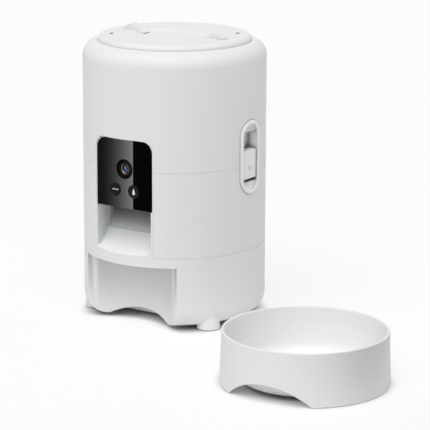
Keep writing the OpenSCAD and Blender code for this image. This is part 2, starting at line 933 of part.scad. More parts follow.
module lens_ring() {
    color(black)
        difference() {
            union() {
                along_y(0, lens_z, face_y - ring_proud, panel_back_y + ring_flange_t, lens_ring_d / 2);
                along_y(0, lens_z, panel_back_y, panel_back_y + ring_flange_t, lens_ring_d / 2 + 1.5);
            }
            along_y(0, lens_z, face_y - past, panel_back_y + past + ring_flange_t, lens_ring_d / 2 - ring_w);
            translate([0, face_y - ring_proud - eps, lens_z])
                rotate([-90, 0, 0])
                    cylinder(r1 = lens_ring_d / 2 - 0.9, r2 = lens_ring_d / 2 - ring_w, h = 2);
        }
}

module lens_barrel() {
    color(black)
        difference() {
            along_y(0, lens_z, face_y + 1.4, board_y, barrel_r);
            along_y(0, lens_z, face_y, glass_seat_y, barrel_r - barrel_wall);
        }
}

module lens_glass() {
    glass_r = barrel_r - barrel_wall - 0.1;
    ball_r = (pow(glass_r, 2) + pow(glass_dome, 2)) / (2 * glass_dome);
    color("#243449")
        intersection() {
            translate([0, glass_seat_y - glass_dome - glass_t + ball_r, lens_z])
                sphere(ball_r);
            along_y(0, lens_z, face_y, glass_seat_y, glass_r);
        }
}

module camera_board() {
    color(board_green) {
        box(-board_half, board_half, board_y, board_y + board_t, board_low_z, board_top_z);
        for (side = [-1, 1])
            along_y(side * button_pitch / 2, button_z, button_back_y + button_travel + slip / 2,
                board_y + eps, switch_r);
        box(board_half - board_margin - chip_side, board_half - board_margin,
            board_y - chip_h, board_y + eps,
            lens_z + board_margin, lens_z + board_margin + chip_side);
    }
}

// A round button with its retaining flange behind the panel
module round_button(x) {
    difference() {
        union() {
            along_y(x, button_z, face_y - button_proud, button_back_y, button_d / 2);
            along_y(x, button_z, panel_back_y, button_back_y, button_d / 2 + button_flange);
        }
        translate([x, face_y - button_proud - eps, button_z])
            rotate([-90, 0, 0])
                cylinder(r1 = button_d / 2 - 0.8, r2 = button_d / 2 - 1.4, h = 0.4);
    }
}

module set_button() {
    color(black)
        round_button(-button_pitch / 2);
}

module feed_button() {
    color(black)
        round_button(button_pitch / 2);
}

// Side latches

module latch_frame() {
    half = latch_slot_w / 2;
    color(white)
        difference() {
            union() {
                intersection() {
                    spread(latch_back_x, body_r + 2 * latch_proud)
                        stadium(latch_w, latch_h, latch_z);
                    post(0, 0, latch_z - past, latch_z + latch_h + past, body_r + latch_proud);
                }
                box(latch_back_x, latch_back_x + latch_ear,
                    -latch_w / 2 - latch_ear, latch_w / 2 + latch_ear,
                    deck_top_z, deck_top_z + latch_ear_t);
            }
            difference() {
                spread(latch_back_x, body_r + 3 * latch_proud)
                    stadium(latch_slot_w, latch_slot_h, latch_z + latch_bead);
                post(0, 0, latch_z - past, latch_z + latch_h + past, body_r - latch_recess);
            }
            box(latch_back_x + latch_back_t, body_r + 3 * latch_proud, -half, half,
                latch_low_face, latch_well_top);
            box(latch_back_x - past, body_r, -half + latch_bead / 2, half - latch_bead / 2,
                latch_low_face, latch_button_z);
            box(latch_back_x - past, body_r, -latch_stem_w / 2 - seat, latch_stem_w / 2 + seat,
                latch_stem_z - latch_travel - seat, latch_stem_z + latch_stem_h + seat);
            post(spring_x, 0, spring_foot_z, latch_low_face + past, spring_r + seat);
        }
}

module latch_button() {
    half = latch_slot_w / 2 - seat;
    color(white)
        union() {
            intersection() {
                box(latch_back_x + latch_back_t + seat, body_r, -half, half,
                    latch_button_z, latch_button_z + latch_button_h);
                post(0, 0, latch_button_z - past, latch_well_top, body_r - latch_recess + 0.4);
            }
            box(keeper_x + keeper_gap, latch_back_x + latch_back_t + 1, -latch_stem_w / 2, latch_stem_w / 2,
                latch_stem_z, latch_stem_z + latch_stem_h);
            post(spring_x, 0, latch_button_z - spring_pin_l, latch_button_z + eps, spring_pin_r);
        }
}

module latch_spring() {
    color(steel)
        translate([spring_x, 0, 0])
            tube(spring_r, spring_r - spring_wire, spring_foot_z, latch_button_z);
}

module latch_frame_right() {
    latch_frame();
}

module latch_frame_left() {
    mirror([1, 0, 0])
        latch_frame();
}

module latch_button_right() {
    latch_button();
}

module latch_button_left() {
    mirror([1, 0, 0])
        latch_button();
}

module latch_spring_right() {
    latch_spring();
}

module latch_spring_left() {
    mirror([1, 0, 0])
        latch_spring();
}

// Drive

module motor_plate() {
    color(white)
        difference() {
            union() {
                translate([0, 0, plate_z])
                    linear_extrude(plate_t)
                        union() {
                            translate([-plate_half, plate_front])
                                square([2 * plate_half, plate_mid - plate_front]);
                            translate([-plate_tail_half, 0])
                                square([2 * plate_tail_half, plate_tail]);
                            for (p = plate_posts)
                                translate(p)
                                    circle(post_r + plate_edge);
                        }
                for (p = plate_posts)
                    post(p[0], p[1], plate_z, deck_z, post_r);
            }
            post(0, 0, plate_z - past, plate_z + plate_t + past, shaft_d / 2 + bush_t + run);
            post(0, gear_centres, plate_z - past, plate_z + plate_t + past, motor_shaft_r + 1.5);
        }
}

module gear_motor() {
    color(steel)
        translate([0, gear_centres, 0])
            difference() {
                union() {
                    post(0, 0, plate_z - motor_len, plate_z, motor_d / 2);
                    post(0, 0, plate_z - motor_len - 2, plate_z, motor_d / 4);
                }
                post(0, 0, plate_z - 6, plate_z + past, motor_shaft_r + run);
            }
}

module motor_pinion() {
    color(pom)
        translate([0, gear_centres, 0]) {
            translate([0, 0, gear_z])
                linear_extrude(gear_w)
                    rotate(-90 + 180 / pinion_teeth)
                        gear_outline(pinion_teeth);
            post(0, 0, plate_z - 5.8, gear_z + eps, motor_shaft_r);
        }
}

module drive_gear() {
    color(pom)
        difference() {
            translate([0, 0, gear_z])
                linear_extrude(gear_w)
                    rotate(90)
                        gear_outline(gear_teeth);
            post(0, 0, gear_z - past, gear_z + gear_w + past, shaft_d / 2 + run / 2);
            tube(pitch_r - gear_rim, shaft_d / 2 + gear_hub, gear_z + gear_w - gear_web_cut,
                gear_z + gear_w + past);
            for (a = [0:60:300])
                rotate(a)
                    post(gear_hole_ring, 0, gear_z - past, gear_z + gear_w + past, gear_hole_r);
        }
}

module drive_shaft() {
    color(steel) {
        post(0, 0, plate_z - 2, head_z + eps, shaft_d / 2);
        translate([0, 0, head_z])
            cylinder(d = drive_flats / cos(30), h = head_h, $fn = 6);
    }
}

module shaft_bush(z, t) {
    tube(shaft_d / 2 + bush_t, shaft_d / 2 + run, z - eps, z + t);
    tube(shaft_d / 2 + bush_t + bush_flange, shaft_d / 2 + run, z - bush_flange_t, z);
}

module shaft_bushes() {
    color("#C9A45A") {
        shaft_bush(plate_z, plate_t);
        shaft_bush(deck_z, head_z - deck_z - 0.2);
    }
}

// Hopper

module hopper_shell() {
    color(white)
        difference() {
            union() {
                rotate_extrude()
                    difference() {
                        barrel_half(body_r, hopper_z, lid_seam_z, 0, shoulder_r);
                        barrel_half(inner_r, hopper_z - past, lid_seam_z - wall, 0, shoulder_r - wall);
                        square([neck_r, 2 * lid_seam_z]);
                    }
                tube(neck_r + collar_t, neck_r, lid_seat_z - lid_seat_t, lid_seam_z - wall + eps);
                tube(neck_r + eps, lid_seat_r, lid_seat_z - lid_seat_t, lid_seat_z);
                for (turn = [0:90:270])
                    rotate(turn)
                        intersection() {
                            tube(inner_r + eps, inner_r - ledge_w, cone_top_z, cone_top_z + lug_t);
                            box(0, body_r, -lug_w / 2, lug_w / 2,
                                cone_top_z - past, cone_top_z + lug_t + past);
                        }
            }
            push_back(-body_r - past, tower_back_y)
                door_outline(slot_w, hopper_z - past, tower_top_z + slot_gap, tower_corner_r + slot_gap);
            latch_notch(slot_gap);
            seam_cut(mid_seam_z);
        }
}

// Outlet in the rotor bowl's floor: a piece of a ring round the front
module outlet_outline() {
    reach = 2 * outlet_r1;
    intersection() {
        difference() {
            circle(outlet_r1);
            circle(outlet_r0);
        }
        polygon([[0, 0], reach * [sin(outlet_angle), -cos(outlet_angle)],
            reach * [-sin(outlet_angle), -cos(outlet_angle)]]);
    }
}

module hopper_funnel() {
    out_r = rotor_bowl_r + funnel_wall;
    color(white)
        difference() {
            union() {
                rotate_extrude()
                    polygon([[0, funnel_floor_z], [out_r, funnel_floor_z], [out_r, bowl_top_z],
                        [cone_top_r + funnel_wall, cone_top_z - flange_t],
                        [inner_r - slip, cone_top_z - flange_t], [inner_r - slip, cone_top_z],
                        [cone_top_r, cone_top_z],
                        [rotor_bowl_r, bowl_top_z], [rotor_bowl_r, funnel_floor_z + funnel_floor_t],
                        [0, funnel_floor_z + funnel_floor_t]]);
                tube(rotor_bowl_r + eps, rotor_bowl_r - shield_rib, shield_z - 2, shield_z);
                for (side = [0, 1])
                    mirror([side, 0, 0])
                        box(rotor_bowl_r, keeper_x, -keeper_w / 2, keeper_w / 2,
                            latch_stem_z + 2, latch_stem_z + 2 + keeper_t);
            }
            post(0, 0, funnel_floor_z - past, rotor_z, drive_flats / 2 / cos(30) + 1.2);
            translate([0, 0, funnel_floor_z - past])
                linear_extrude(funnel_floor_t + 2 * past)
                    outlet_outline();
        }
}

module outlet_shield() {
    reach = 2 * rotor_bowl_r;
    color(white)
        translate([0, 0, shield_z])
            linear_extrude(shield_t)
                intersection() {
                    difference() {
                        circle(rotor_bowl_r - 0.1);
                        circle(shield_r0);
                    }
                    polygon([[0, 0], reach * [sin(shield_angle), -cos(shield_angle)],
                        reach * [-sin(shield_angle), -cos(shield_angle)]]);
                }
}

module rotor() {
    color(grey)
        difference() {
            union() {
                rotate_extrude()
                    barrel_half(hub_r, rotor_z - rotor_lift, rotor_z + hub_h, 0, 6);
                for (i = [0:vane_count - 1])
                    rotate(360 * (i + 0.5) / vane_count)
                        box(hub_r - 2, vane_r, -vane_t / 2, vane_t / 2, rotor_z, rotor_z + vane_h);
            }
            translate([0, 0, rotor_z - past])
                cylinder(d = (drive_flats + 2 * seat) / cos(30), h = head_h - 4 + past, $fn = 6);
            for (i = [0:vane_count - 1])
                rotate(360 * (i + 0.5) / vane_count)
                    box(vane_r - tip_root, vane_r + past, -tip_t / 2, tip_t / 2,
                        rotor_z - past, rotor_z + vane_h + past);
        }
}

module rotor_tips() {
    color(soft_white)
        for (i = [0:vane_count - 1])
            rotate(360 * (i + 0.5) / vane_count)
                box(vane_r - tip_root, vane_r - tip_root + tip_l, -tip_t / 2, tip_t / 2,
                    rotor_z, rotor_z + vane_h);
}

// Lid

// Half profile of the finger dish, drawn out by a wall thickness
module dish_half(grow) {
    top = grow > 0 ? lid_top_z : lid_top_z + dish_over;
    translate([0, dish_floor_z - grow])
        square([dish_floor_r, top - dish_floor_z + grow]);
    intersection() {
        translate([dish_floor_r, dish_floor_z + dish_round])
            circle(dish_round + grow);
        translate([0, dish_floor_z - past - grow])
            square([2 * dish_r, top - dish_floor_z + past + grow]);
    }
}

// Finger dish: its front and its back are pieces of two round dishes
module finger_dish(grow) {
    for (turn = [0, 180])
        rotate(turn)
            intersection() {
                translate([0, dish_y, 0])
                    rotate_extrude()
                        dish_half(grow);
                box(-lid_r, lid_r, -lid_r, dish_lap, lid_foot_z, lid_top_z + 2 * dish_over);
            }
}

// Ground plan of a latch block's slot in the lid
module block_slot() {
    translate([lid_slot_x, -lid_block_w / 2 - seat])
        square([lid_stem_x + lid_stem_l + seat - lid_slot_x, lid_block_w + 2 * seat]);
}

module lid_cover() {
    color(white)
        difference() {
            union() {
                difference() {
                    rotate_extrude()
                        barrel_half(lid_r, lid_foot_z, lid_top_z, 0, lid_edge_r);
                    post(0, 0, lid_foot_z - past, lid_top_z - lid_wall, lid_r - lid_wall);
                }
                finger_dish(dish_wall);
                post(0, 0, lid_plate_z + lid_plate_t, dish_floor_z - dish_wall / 2, lid_boss_r);
                for (turn = [0, 180])
                    rotate(plug_angle + turn)
                        post(plug_ring_r, 0, lid_plate_z + lid_plate_t, lid_top_z - lid_wall / 2,
                            plug_r + lid_wall);
            }
            finger_dish(0);
            for (turn = [0, 180])
                rotate(turn) {
                    translate([0, 0, lid_tongue_z])
                        linear_extrude(lid_top_z)
                            block_slot();
                    box(lid_stem_x, lid_r + past, -lid_tongue_w / 2 - seat, lid_tongue_w / 2 + seat,
                        lid_foot_z - past, lid_tongue_z + lid_tongue_t + seat);
                }
            for (turn = [0, 180])
                rotate(plug_angle + turn)
                    post(plug_ring_r, 0, lid_top_z - plug_len, lid_top_z + past, plug_r + run);
        }
}

module lid_plate() {
    color(white)
        post(0, 0, lid_plate_z, lid_plate_z + lid_plate_t, lid_plate_r);
}

module lid_seal() {
    color(soft_white)
        tube(lid_seat_r - slip, lid_plate_r + run, lid_plate_z + 0.3, lid_plate_z + 0.3 + seal_t);
}

module desiccant_box() {
    color(white)
        difference() {
            post(0, 0, lid_plate_z - desiccant_h, lid_plate_z, desiccant_r);
            post(0, 0, lid_plate_z - desiccant_h + desiccant_wall, lid_plate_z + past,
                desiccant_r - desiccant_wall);
            for (i = [-3:3])
                box(i * grille_pitch - grille_half, i * grille_pitch + grille_half, -grille_l, grille_l,
                    lid_plate_z - desiccant_h - past, lid_plate_z - desiccant_h + desiccant_wall + past);
        }
}

module desiccant_sachet() {
    color(soft_white)
        rotate_extrude()
            barrel_half(desiccant_r - 3, lid_plate_z - desiccant_h + desiccant_wall, lid_plate_z - 1, 3, 3);
}

// A latch block: a mound whose hollow inner face runs on from the dish, on a stem with a tongue
module lid_latch() {
    crest = [lid_crest_x, lid_top_z + lid_block_rise];
    lip = [lid_block_x, lid_lip_z + lid_lip_t];
    stem_end = lid_stem_x + lid_stem_l;
    cap_z = lid_top_z + seat;
    span = crest - lip;
    scoop = (crest + lip) / 2
        + [-span[1], span[0]] / norm(span) * sqrt(pow(lid_scoop_r, 2) - pow(norm(span) / 2, 2));
    color(white)
        union() {
            push_back(-lid_block_w / 2, lid_block_w / 2)
                difference() {
                    polygon([[lid_block_x, lid_lip_z], [lid_stem_x, lid_lip_z], [lid_stem_x, lid_tongue_z],
                        [stem_end, lid_tongue_z], [stem_end, cap_z], [lid_ramp_x, cap_z],
                        [lid_ramp_x, cap_z + lid_ramp_foot], crest + [lid_crest_l, 0], crest, lip]);
                    translate(scoop)
                        circle(lid_scoop_r);
                }
            box(lid_stem_x + lid_tongue_t, lid_r - 2 * seat, -lid_tongue_w / 2, lid_tongue_w / 2,
                lid_tongue_z, lid_tongue_z + lid_tongue_t);
        }
}

module lid_latch_right() {
    lid_latch();
}

module lid_latch_left() {
    rotate(180)
        lid_latch();
}

module lid_plugs() {
    color(white)
        for (turn = [0, 180])
            rotate(plug_angle + turn)
                post(plug_ring_r, 0, lid_top_z - plug_len, lid_top_z + plug_proud, plug_r);
}

// Bowl

// Inside of the bowl, drawn out by a wall thickness
module bowl_hollow(grow) {
    round_r = bowl_fillet_r + grow;
    mid_z = bowl_floor_z + bowl_fillet_r;
    rim_r = bowl_d / 2 - bowl_wall;
    mid_r = rim_r - (bowl_h - mid_z) * tan(bowl_lean) - bowl_fillet_r / cos(bowl_lean);
    touch = [mid_r + round_r * cos(bowl_lean), mid_z - round_r * sin(bowl_lean)];
    top = bowl_h + (grow > 0 ? 0 : past);
    intersection() {
        union() {
            polygon([[0, mid_z - round_r], [mid_r, mid_z - round_r], [mid_r, mid_z], touch,
                [touch[0] + (top - touch[1]) * tan(bowl_lean), top], [0, top]]);
            translate([mid_r, mid_z])
                circle(round_r);
        }
        square([bowl_d, top]);
    }
}

module bowl() {
    arch_r = (pow(bowl_arch_w / 2, 2) + pow(bowl_arch_h, 2)) / (2 * bowl_arch_h);
    skirt_r = bowl_foot_d / 2;
    rim_r = bowl_d / 2;
    color(white)
        translate([bowl_x, -bowl_front, 0])
            rotate(bowl_turn)
                difference() {
                    union() {
                        difference() {
                            rotate_extrude()
                                polygon([[skirt_r - bowl_wall, 0], [skirt_r, 0], [rim_r, bowl_h],
                                    [rim_r - bowl_wall, bowl_h]]);
                            translate([0, -rim_r / 2, bowl_arch_h - arch_r])
                                rotate([90, 0, 0])
                                    cylinder(r = arch_r, h = bowl_d);
                        }
                        rotate_extrude()
                            intersection() {
                                bowl_hollow(bowl_wall);
                                polygon([[0, 0], [skirt_r, 0], [rim_r, bowl_h], [0, bowl_h]]);
                            }
                    }
                    rotate_extrude()
                        bowl_hollow(0);
                }
}

placed() base_tub();
placed() bottom_cover();
placed() bottom_screws();
placed() foot_pads();
placed() mid_shell();
placed() deck();
placed() chute();
placed() duct();
placed() camera_housing();
placed() camera_panel();
placed() lens_ring();
placed() lens_barrel();
placed() lens_glass();
placed() camera_board();
placed() set_button();
placed() feed_button();
placed() latch_frame_right();
placed() latch_frame_left();
placed() latch_button_right();
placed() latch_button_left();
placed() latch_spring_right();
placed() latch_spring_left();
placed() motor_plate();
placed() gear_motor();
placed() motor_pinion();
placed() drive_gear();
placed() drive_shaft();
placed() shaft_bushes();
placed() main_board();
placed() power_inlet();
placed() speaker();
placed() hopper_shell();
placed() hopper_funnel();
placed() outlet_shield();
placed() rotor();
placed() rotor_tips();
placed() lid_cover();
placed() lid_plate();
placed() lid_seal();
placed() desiccant_box();
placed() desiccant_sachet();
placed() lid_latch_right();
placed() lid_latch_left();
placed() lid_plugs();
placed() bowl();
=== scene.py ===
"""Pet feeder with camera: finishes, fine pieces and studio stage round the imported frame."""

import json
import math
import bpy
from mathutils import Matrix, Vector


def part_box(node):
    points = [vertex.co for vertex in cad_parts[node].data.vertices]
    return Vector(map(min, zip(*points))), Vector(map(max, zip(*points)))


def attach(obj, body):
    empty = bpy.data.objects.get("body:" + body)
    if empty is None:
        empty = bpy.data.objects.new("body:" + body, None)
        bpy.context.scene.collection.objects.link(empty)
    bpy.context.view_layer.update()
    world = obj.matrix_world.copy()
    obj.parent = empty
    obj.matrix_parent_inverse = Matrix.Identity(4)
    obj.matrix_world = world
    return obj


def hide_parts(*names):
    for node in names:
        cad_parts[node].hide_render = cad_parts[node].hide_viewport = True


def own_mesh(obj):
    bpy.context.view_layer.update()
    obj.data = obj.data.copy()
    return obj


bl_info = {
    "name": "Pet Feeder with Camera",
    "version": (1, 0, 0),
    "blender": (4, 5, 0),
    "location": "View3D > Sidebar > Feeder",
    "description": "Dresses the packed pet feeder with finishes and fine pieces, "
                   "and sets up its studio stage",
    "category": "Object",
}

import bmesh
import bpy
from bpy.props import FloatProperty, PointerProperty, StringProperty
from mathutils import Matrix, Vector

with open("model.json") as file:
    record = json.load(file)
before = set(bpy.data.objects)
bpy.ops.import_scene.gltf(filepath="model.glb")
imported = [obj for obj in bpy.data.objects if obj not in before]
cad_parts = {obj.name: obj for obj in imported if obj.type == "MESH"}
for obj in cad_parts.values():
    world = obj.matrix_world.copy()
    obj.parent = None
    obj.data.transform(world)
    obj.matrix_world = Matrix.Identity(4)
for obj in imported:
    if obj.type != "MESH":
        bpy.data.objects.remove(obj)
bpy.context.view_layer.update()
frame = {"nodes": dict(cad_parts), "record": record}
NODES = frame["nodes"]
RECORD = frame["record"]
BODY_OF = {node: body for body, nodes in RECORD["behaviour"]["bodies"].items() for node in nodes}
SLOT_OF = {part["node"]: part["material_slot"] for part in RECORD["subparts"]}
MM = 0.001


def middle(node):
    """The middle of a node's box."""
    low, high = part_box(node)
    return (Vector(low) + Vector(high)) / 2


# Foot of the round body's axis on the floor
AXIS = middle("hopper_shell") * Vector((1, 1, 0))

# The photograph's frame is square
IMAGE_PX = 430

# Edges of a piece that turn by more than this are shaded as sharp
SHARP_ANGLE = math.radians(40)


def hex_value(name, description, default):
    """A property that holds a colour as sRGB hex."""
    return StringProperty(name=name, description=description, default=default)


def length_value(name, description, default):
    """A property that holds a length, in metres."""
    return FloatProperty(name=name, description=description, default=default, unit="LENGTH")


def angle_value(name, description, degrees):
    """A property that holds an angle, given here in degrees."""
    return FloatProperty(name=name, description=description, default=math.radians(degrees),
                         subtype="ANGLE")


class FeederColours(bpy.types.PropertyGroup):
    """Colours of the mouldings and fittings, as sRGB hex"""

    white_abs: hex_value("White ABS", "Outer mouldings and bowl", "#E8E9E9")
    inner_abs: hex_value("Inner ABS", "Deck, funnel and other inner mouldings", "#E6E7E7")
    black_acrylic: hex_value("Black acrylic", "Camera panel", "#08080A")
    # The bezel's whiter tone is partly a painted highlight round the panel
    bezel_abs: hex_value("Bezel ABS", "Camera housing round the panel", "#F6F7F7")
    latch_abs: hex_value("Latch ABS", "Side latches", "#F4F5F5")
    sill_abs: hex_value("Sill ABS", "Chute, at its sill", "#F2F3F3")
    # The chute's deep colour and the duct's colours are painted shade inside the mouth and duct
    mouth_painted_shade: hex_value("Deep ABS", "Chute, deep inside its mouth", "#C8CACB")
    duct_abs: hex_value("Duct ABS", "Duct, up inside it", "#7C7E80")
    black_abs: hex_value("Black ABS", "Buttons, lens barrel, power inlet, speaker", "#0A0A0B")
    grey_abs: hex_value("Grey ABS", "Rotor", "#A3A6A8")
    icon_white: hex_value("Icon ink", "Printed icons on the buttons", "#E4E6E8")
    lens_dark: hex_value("Lens glass", "Dark front lens", "#060A12")
    # The lens coating and the near-white tint below colour the two discs that paint the lens's
    # glints
    lens_blue: hex_value("Lens coating", "Coated inner lens", "#3E7FD6")
    lens_core: hex_value("Lens core", "Coated innermost lens", "#E2EEFF")
    lens_ring: hex_value("Lens retainer", "Anodised ring round the lens", "#5B5651")


class FeederSizes(bpy.types.PropertyGroup):
    """Sizes of the fine pieces and the stage"""

    camera_turn: angle_value("Camera turn", "Camera's turn from the front, to the right", 35.5)
    camera_pitch: angle_value("Camera pitch", "Camera's angle above the horizon", 12.82)
    camera_distance: length_value("Camera distance", "From the camera to its aim", 2.4)
    aim_height: length_value("Aim height", "Height of the camera's aim on the body's axis", 0.145)
    focal_px: FloatProperty(name="Focal length in pixels", default=2297.0,
                            description="For an image as wide as the photograph")
    aim_px_x: FloatProperty(name="Aim across", default=174.74,
                            description="Where the aim lies in the image, from the left")
    aim_px_y: FloatProperty(name="Aim down", default=174.02,
                            description="Where the aim lies in the image, from the top")
    key_turn: angle_value("Key light's turn", "From the camera's side, to its left", 25)
    key_height: angle_value("Key light's height", "Angle above the horizon", 62)
    rim_turn: angle_value("Rim light's turn", "From the camera's side, to its right", 105)
    rim_height: angle_value("Rim light's height", "Angle above the horizon", 25)
    latch_width: length_value("Latch width", "Width of a side latch's frame", 0.034)
    bead_width: length_value("Bead width", "Width of the bead round a side latch", 0.0045)
    floor_radius: length_value("Floor radius", "Radius of the studio floor", 12.0)
    card_distance: length_value("Card distance", "From the panel to the card it mirrors", 0.35)
    card_size: length_value("Card size", "Side of the card", 0.3)
    card_edge: length_value("Card edge", "Where the card's bright part ends", 0.003)
    card_fade: length_value("Card fade", "Width in which the card's bright part fades", 0.038)
    flag_gap: length_value("Flag gap", "From the bowl to the flag beside it", 0.045)
    flag_ahead: length_value("Flag ahead", "From the bowl's middle to the flag's far end", 0.06)
    flag_length: length_value("Flag length", "Length of the flag", 0.3)
    flag_height: length_value("Flag height", "Height of the flag", 0.12)


def linear(hex_text):
    """An sRGB hex value as linear RGBA."""
    channels = [int(hex_text[i:i + 2], 16) / 255 for i in (1, 3, 5)]
    return [c / 12.92 if c <= 0.04045 else ((c + 0.055) / 1.055) ** 2.4 for c in channels] + [1.0]


def add_node(tree, kind, inputs=None, **settings):
    """Adds a node: settings are its properties, inputs are values or the sockets that feed it."""
    node = tree.nodes.new(kind)
    for name, value in settings.items():
        setattr(node, name, value)
    for name, value in (inputs or {}).items():
        if isinstance(value, bpy.types.NodeSocket):
            tree.links.new(value, node.inputs[name])
        else:
            node.inputs[name].default_value = value
    return node


def blank_material(name):
    """A new material with an empty tree and its output."""
    material = bpy.data.materials.new(name)
    material.use_nodes = True
    tree = material.node_tree
    tree.nodes.clear()
    return material, tree, add_node(tree, "ShaderNodeOutputMaterial")


def grainy(name, colour, roughness, grain_mm, depth_mm, spread=0.05, deep=None, corner_mm=0,
           **sockets):
    """A moulded or cast surface: fine grain in gloss and relief.

    deep is a second colour, a painted shade, and the Y of the front and back between which it takes
    over, corner_mm is how far from a corner the colour darkens as painted shade.
    """
    material, tree, output = blank_material(name)
    where = add_node(tree, "ShaderNodeTexCoord")
    tint = linear(colour)
    # Painted shade: the colour turns to the second one further in
    if deep:
        inner, front, back = deep
        place = add_node(tree, "ShaderNodeSeparateXYZ", {"Vector": where.outputs["Object"]})
        share = add_node(tree, "ShaderNodeMapRange", {
            "Value": place.outputs["Y"], "From Min": front, "From Max": back})
        blend = add_node(tree, "ShaderNodeMixRGB", {
            "Fac": share.outputs["Result"], "Color1": tint, "Color2": linear(inner)})
        tint = blend.outputs["Color"]
    # Painted shade: ambient occlusion darkens the colour near corners
    if corner_mm:
        nearness = add_node(tree, "ShaderNodeAmbientOcclusion", {
            "Color": tint, "Distance": corner_mm * MM}, samples=8)
        tint = nearness.outputs["Color"]
    grain = add_node(tree, "ShaderNodeTexNoise", {
        "Vector": where.outputs["Object"], "Scale": 1 / (grain_mm * MM),
        "Detail": 2.0, "Roughness": 0.5})
    gloss = add_node(tree, "ShaderNodeMapRange", {
        "Value": grain.outputs["Fac"], "To Min": roughness - spread, "To Max": roughness + spread})
    relief = add_node(tree, "ShaderNodeBump", {
        "Height": grain.outputs["Fac"], "Strength": 1.0, "Distance": depth_mm * MM})
    shader = add_node(tree, "ShaderNodeBsdfPrincipled", {
        "Base Color": tint, "Roughness": gloss.outputs["Result"],
        "Normal": relief.outputs["Normal"], **sockets})
    tree.links.new(shader.outputs["BSDF"], output.inputs["Surface"])
    return material


def drawn_metal(name, colour, roughness, line_mm, stretch, spread=0.08):
    """A drawn or turned metal: fine lines along one axis in its gloss."""
    material, tree, output = blank_material(name)
    where = add_node(tree, "ShaderNodeTexCoord")
    lines = add_node(tree, "ShaderNodeMapping", {
        "Vector": where.outputs["Object"], "Scale": stretch})
    grain = add_node(tree, "ShaderNodeTexNoise", {
        "Vector": lines.outputs["Vector"], "Scale": 1 / (line_mm * MM)})
    gloss = add_node(tree, "ShaderNodeMapRange", {
        "Value": grain.outputs["Fac"], "To Min": roughness - spread, "To Max": roughness + spread})
    shader = add_node(tree, "ShaderNodeBsdfPrincipled", {
        "Base Color": linear(colour), "Metallic": 1.0, "Roughness": gloss.outputs["Result"]})
    tree.links.new(shader.outputs["BSDF"], output.inputs["Surface"])
    return material


def printed_board(name):
    """Solder resist over copper: green with paler tracks."""
    material, tree, output = blank_material(name)
    where = add_node(tree, "ShaderNodeTexCoord")
    tracks = add_node(tree, "ShaderNodeTexBrick", {
        "Vector": where.outputs["Object"], "Scale": 1.0, "Brick Width": 4 * MM,
        "Row Height": 1.6 * MM, "Mortar Size": 0.25 * MM, "Color1": linear("#12502A"),
        "Color2": linear("#15582F"), "Mortar": linear("#2E7A46")})
    shader = add_node(tree, "ShaderNodeBsdfPrincipled", {
        "Base Color": tracks.outputs["Color"], "Roughness": 0.35})
    tree.links.new(shader.outputs["BSDF"], output.inputs["Surface"])
    return material


